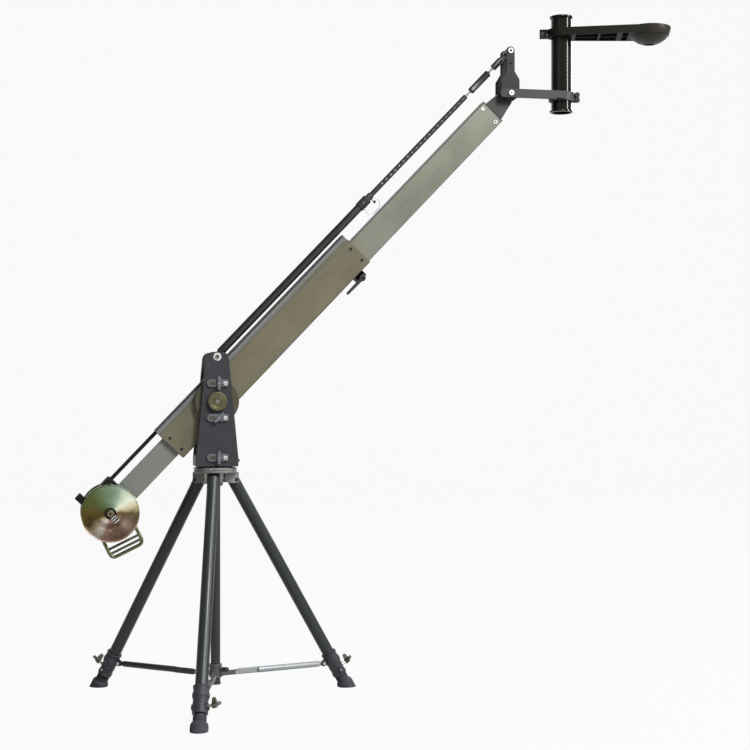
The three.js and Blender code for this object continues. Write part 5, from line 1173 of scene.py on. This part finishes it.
def arm_half(x):
    return ROOT_HALF + (END_HALF - ROOT_HALF) * x / BOWL_X


def dome(radius, depth, hole):
    """Points down an ellipse from its rim to the hole in its floor."""
    last = math.degrees(math.acos(hole / radius))
    turns = [polar(1, last * step / 14) for step in range(15)]
    return [(radius * a, ARM_HALF - depth * b) for a, b in turns]


def camera_arm_pieces():
    bowl_at = spot(BOWL_X)
    end = [(BOWL_X - 12, -END_HALF + 1)] + arc(BOWL_X, 0, 74, -80, 80, 30) + [(BOWL_X - 12, END_HALF - 1)]
    arm = Build("black_arm", SWIVEL_AT)
    arm.slab(arc(0, 0, ROOT_HALF, 90, 270, 30) + end, -ARM_HALF, ARM_HALF, "xy")
    cuts = Build("black_arm", SWIVEL_AT).rod("z", 39.3, -17, 17, sides=80, rim=FINE_RIM)
    cuts.lathe([(0, 20), (75.5, 20)] + dome(75.5, 57, 0)[:-1] + [(0, -42)], at=bowl_at, sides=96)
    for a, b in CELLS:
        for side in SIDES:
            window = [(a, RIB), (b, RIB), (b, arm_half(b) - WALL), (a, arm_half(a) - WALL)]
            window = [(x, side * y) for x, y in window][::side]
            cuts.slab(rounded(window, 4), -17, 10, "xy", rim=0)
    arm.carve(cuts)
    shell = dome(81.5, 63, 19) + dome(75.5, 57, 19)[::-1]
    arm.use("dome").lathe(shell, at=bowl_at, sides=96, closed=True)
    for side in SIDES:
        arm.use("black_arm").block((-82, -42), (side * 1.5, side * 17), (-ARM_HALF, ARM_HALF), rim=1.4)
    arm.use("steel").rod("y", 3.6, -17.2, 18.6, CLAMP_SCREW)
    arm.bolt(-1, 16.8, 4.2, 2.4, 2.0, spot(-54, 0, -7))
    arm.done("camera_arm", "camera_arm", "black_anodised")

    line = [(51, 18), (79, 18), (80, 17), (80, 16.2), (79, 15.3)]
    for ball, top, way in ((56, 15.3, 1), (50, 18, -1)):
        last = math.degrees(math.acos(19 / ball))
        turns = [polar(ball, last * step / 12) for step in range(13)]
        line += [(radius, top - drop) for radius, drop in turns][::way]
    bowl = Build("black_arm", SWIVEL_AT @ bowl_at).lathe(line, sides=96, closed=True)
    bowl.done("camera_bowl", "camera_arm", "black_anodised")
    knob = Build("plastic", SWIVEL_AT @ CLAMP_SCREW @ turn(180, "Z"))
    knob.lathe(knurled(9, 17.3, 31.3, 3), "y", sides=32).done("arm_clamp_knob", "arm_lock", "black_plastic")


# Studio

STUDIO_WHITE = 0.94
SKY = 0.14


def seen_by(tree, *rays):
    """One for the named kinds of ray, else nought."""
    path = new(tree, "LightPath").outputs
    seen = path["Is Camera Ray"]
    for ray in rays:
        seen = maths(tree, "MAXIMUM", seen, path[ray])
    return seen


def studio_material(name, rgb):
    """A matt backdrop that the camera, reflections and glass see as plain white."""
    stuff = bpy.data.materials.new(name)
    stuff.use_nodes = True
    tree = stuff.node_tree
    shader = feed(tree, tree.nodes["Principled BSDF"], {"Base Color": (*rgb, 1), "Roughness": 0.9})
    glow = new(tree, "Emission", {"Color": (1, 1, 1, 1), "Strength": 1.0})
    share = times(tree, seen_by(tree, "Is Glossy Ray", "Is Transmission Ray"), STUDIO_WHITE)
    mix = new(tree, "MixShader", {0: share, 1: shader.outputs[0], 2: glow.outputs[0]})
    feed(tree, tree.nodes["Material Output"], {"Surface": mix.outputs[0]})
    return stuff


def studio_floor(rgb):
    """A floor that bends up into a backdrop, in metres."""
    size, back, rise, bend = 20.0, 14.0, 16.0, 3.0
    turns = [polar(bend, degrees) for degrees in range(-80, 1, 10)]
    line = [(-size, 0.0), (back - bend, 0.0)] + [(back - bend + a, bend + b) for a, b in turns]
    line.append((back, rise))
    shell = bmesh.new()
    row = [shell.verts.new((-size, y, z)) for y, z in line]
    edges = [shell.edges.new(pair) for pair in zip(row, row[1:])]
    across = bmesh.ops.extrude_edge_only(shell, edges=edges)["geom"]
    far = [item for item in across if isinstance(item, bmesh.types.BMVert)]
    bmesh.ops.translate(shell, verts=far, vec=(2 * size, 0, 0))
    bmesh.ops.recalc_face_normals(shell, faces=shell.faces)
    mesh = bpy.data.meshes.new("studio_floor")
    shell.to_mesh(mesh)
    shell.free()
    mesh.shade_smooth()
    mesh.materials.append(studio_material("studio", rgb))
    return bpy.data.objects.new("studio_floor", mesh)


def lamp(name, place, aim, size, power):
    data = bpy.data.lights.new(name, "AREA")
    data.shape = "RECTANGLE"
    data.size, data.size_y = size
    data.energy = power
    item = bpy.data.objects.new(name, data)
    item.location = place
    item.rotation_euler = (Vector(aim) - Vector(place)).to_track_quat("-Z", "Y").to_euler()
    bpy.context.scene.collection.objects.link(item)


def build_stage():
    scene = bpy.context.scene
    look = scene.crane_camera
    data = bpy.data.cameras.new("camera")
    data.lens = look.lens
    data.sensor_width = 36
    data.shift_y = look.shift
    camera = bpy.data.objects.new("camera", data)
    camera.location = look.place
    camera.rotation_euler = (math.pi / 2, 0, look.heading)
    scene.collection.objects.link(camera)
    scene.camera = camera

    floor = studio_floor(scene.crane_colours.floor)
    scene.collection.objects.link(floor)

    world = bpy.data.worlds.new("studio")
    scene.world = world
    world.use_nodes = True
    tree = world.node_tree
    strength = ranged(tree, seen_by(tree, "Is Transmission Ray"), SKY, STUDIO_WHITE, 0, 1)
    feed(tree, tree.nodes["Background"], {"Color": (1, 1, 1, 1), "Strength": strength})
    lamp("key", (4.6, -7.2, 9.6), (0.4, 0, 1.2), (3.0, 3.0), 1750)
    lamp("fill", (-5.0, -6.5, 2.6), (0.3, 0, 1.2), (5.0, 4.0), 40)
    lamp("strip", (5.5, -2.9, 3.5), (1.3, 0, 2.3), (0.8, 1.8), 170)
    lamp("back", (4.4, 4.3, 3.4), (0.3, 0, 1.2), (2.0, 2.0), 90)
    scene.view_settings.view_transform = "Standard"


# Operators

class PieceOperator:
    """Shared run of the operators: an error in what they build stops them."""
    bl_options = {"REGISTER", "UNDO"}

    def execute(self, context):
        self.build()
        return {"FINISHED"}


class CRANE_OT_stage(PieceOperator, bpy.types.Operator):
    """Set up the camera, lamps, floor and world"""
    bl_idname = "crane.stage"
    bl_label = "Stage"
    build = staticmethod(build_stage)


class CRANE_OT_crown(PieceOperator, bpy.types.Operator):
    """Build the tripod crown and the centre column"""
    bl_idname = "crane.crown"
    bl_label = "Crown and column"
    build = staticmethod(crown_pieces)


class CRANE_OT_legs(PieceOperator, bpy.types.Operator):
    """Build the three legs with their clamps, feet, knobs and struts"""
    bl_idname = "crane.legs"
    bl_label = "Legs"

    def build(self):
        for name in LEG_AZIMUTHS:
            leg_pieces(name)


class CRANE_OT_hub(PieceOperator, bpy.types.Operator):
    """Build the sliding spreader hub and its knob"""
    bl_idname = "crane.hub"
    bl_label = "Spreader hub"
    build = staticmethod(hub_pieces)


class CRANE_OT_yoke(PieceOperator, bpy.types.Operator):
    """Build the panning yoke with its pin, knobs and latches"""
    bl_idname = "crane.yoke"
    bl_label = "Yoke"
    build = staticmethod(yoke_pieces)


class CRANE_OT_sleeve(PieceOperator, bpy.types.Operator):
    """Build the boom sleeve, rail, bearing discs and clamp lever"""
    bl_idname = "crane.sleeve"
    bl_label = "Boom sleeve"
    build = staticmethod(sleeve_pieces)


class CRANE_OT_front(PieceOperator, bpy.types.Operator):
    """Build the telescoping front tube and its tip"""
    bl_idname = "crane.front"
    bl_label = "Front tube"
    build = staticmethod(front_pieces)


class CRANE_OT_rear(PieceOperator, bpy.types.Operator):
    """Build the rear tube, ballast bracket, bar and weights"""
    bl_idname = "crane.rear"
    bl_label = "Rear tube and weights"
    build = staticmethod(rear_pieces)


class CRANE_OT_handle(PieceOperator, bpy.types.Operator):
    """Build the hand rail that hangs from the ballast bar"""
    bl_idname = "crane.handle"
    bl_label = "Hand rail"
    build = staticmethod(handle_piece)


class CRANE_OT_link(PieceOperator, bpy.types.Operator):
    """Build the levelling link with its plunger and lanyard"""
    bl_idname = "crane.link"
    bl_label = "Levelling link"
    build = staticmethod(link_pieces)


class CRANE_OT_head(PieceOperator, bpy.types.Operator):
    """Build the head plates, lower arm and riser"""
    bl_idname = "crane.head"
    bl_label = "Head"
    build = staticmethod(head_pieces)


class CRANE_OT_camera_arm(PieceOperator, bpy.types.Operator):
    """Build the swivelling camera arm with its bowl"""
    bl_idname = "crane.camera_arm"
    bl_label = "Camera arm"
    build = staticmethod(camera_arm_pieces)


STEPS = (
    CRANE_OT_stage, CRANE_OT_link, CRANE_OT_crown, CRANE_OT_legs, CRANE_OT_hub, CRANE_OT_yoke,
    CRANE_OT_sleeve, CRANE_OT_front, CRANE_OT_rear, CRANE_OT_handle, CRANE_OT_head, CRANE_OT_camera_arm,
)
SETTINGS = {"crane_colours": CraneColours, "crane_shape": CraneShape, "crane_camera": CraneCamera}


class CRANE_PT_panel(bpy.types.Panel):
    """Lists the crane's steps and settings"""
    bl_idname = "CRANE_PT_panel"
    bl_label = "Camera jib crane"
    bl_space_type = "VIEW_3D"
    bl_region_type = "UI"
    bl_category = "Crane"

    def draw(self, context):
        for step in STEPS:
            self.layout.operator(step.bl_idname)
        for owner, kind in SETTINGS.items():
            for name in kind.__annotations__:
                self.layout.prop(getattr(context.scene, owner), name)


CLASSES = (*SETTINGS.values(), *STEPS, CRANE_PT_panel)


def register():
    for item in CLASSES:
        bpy.utils.register_class(item)
    for owner, kind in SETTINGS.items():
        setattr(bpy.types.Scene, owner, bpy.props.PointerProperty(type=kind))


def unregister():
    for owner in SETTINGS:
        delattr(bpy.types.Scene, owner)
    for item in reversed(CLASSES):
        bpy.utils.unregister_class(item)


def main():
    register()
    for step in STEPS:
        group, name = step.bl_idname.split(".")
        getattr(getattr(bpy.ops, group), name)()


if __name__ == "__main__":
    main()
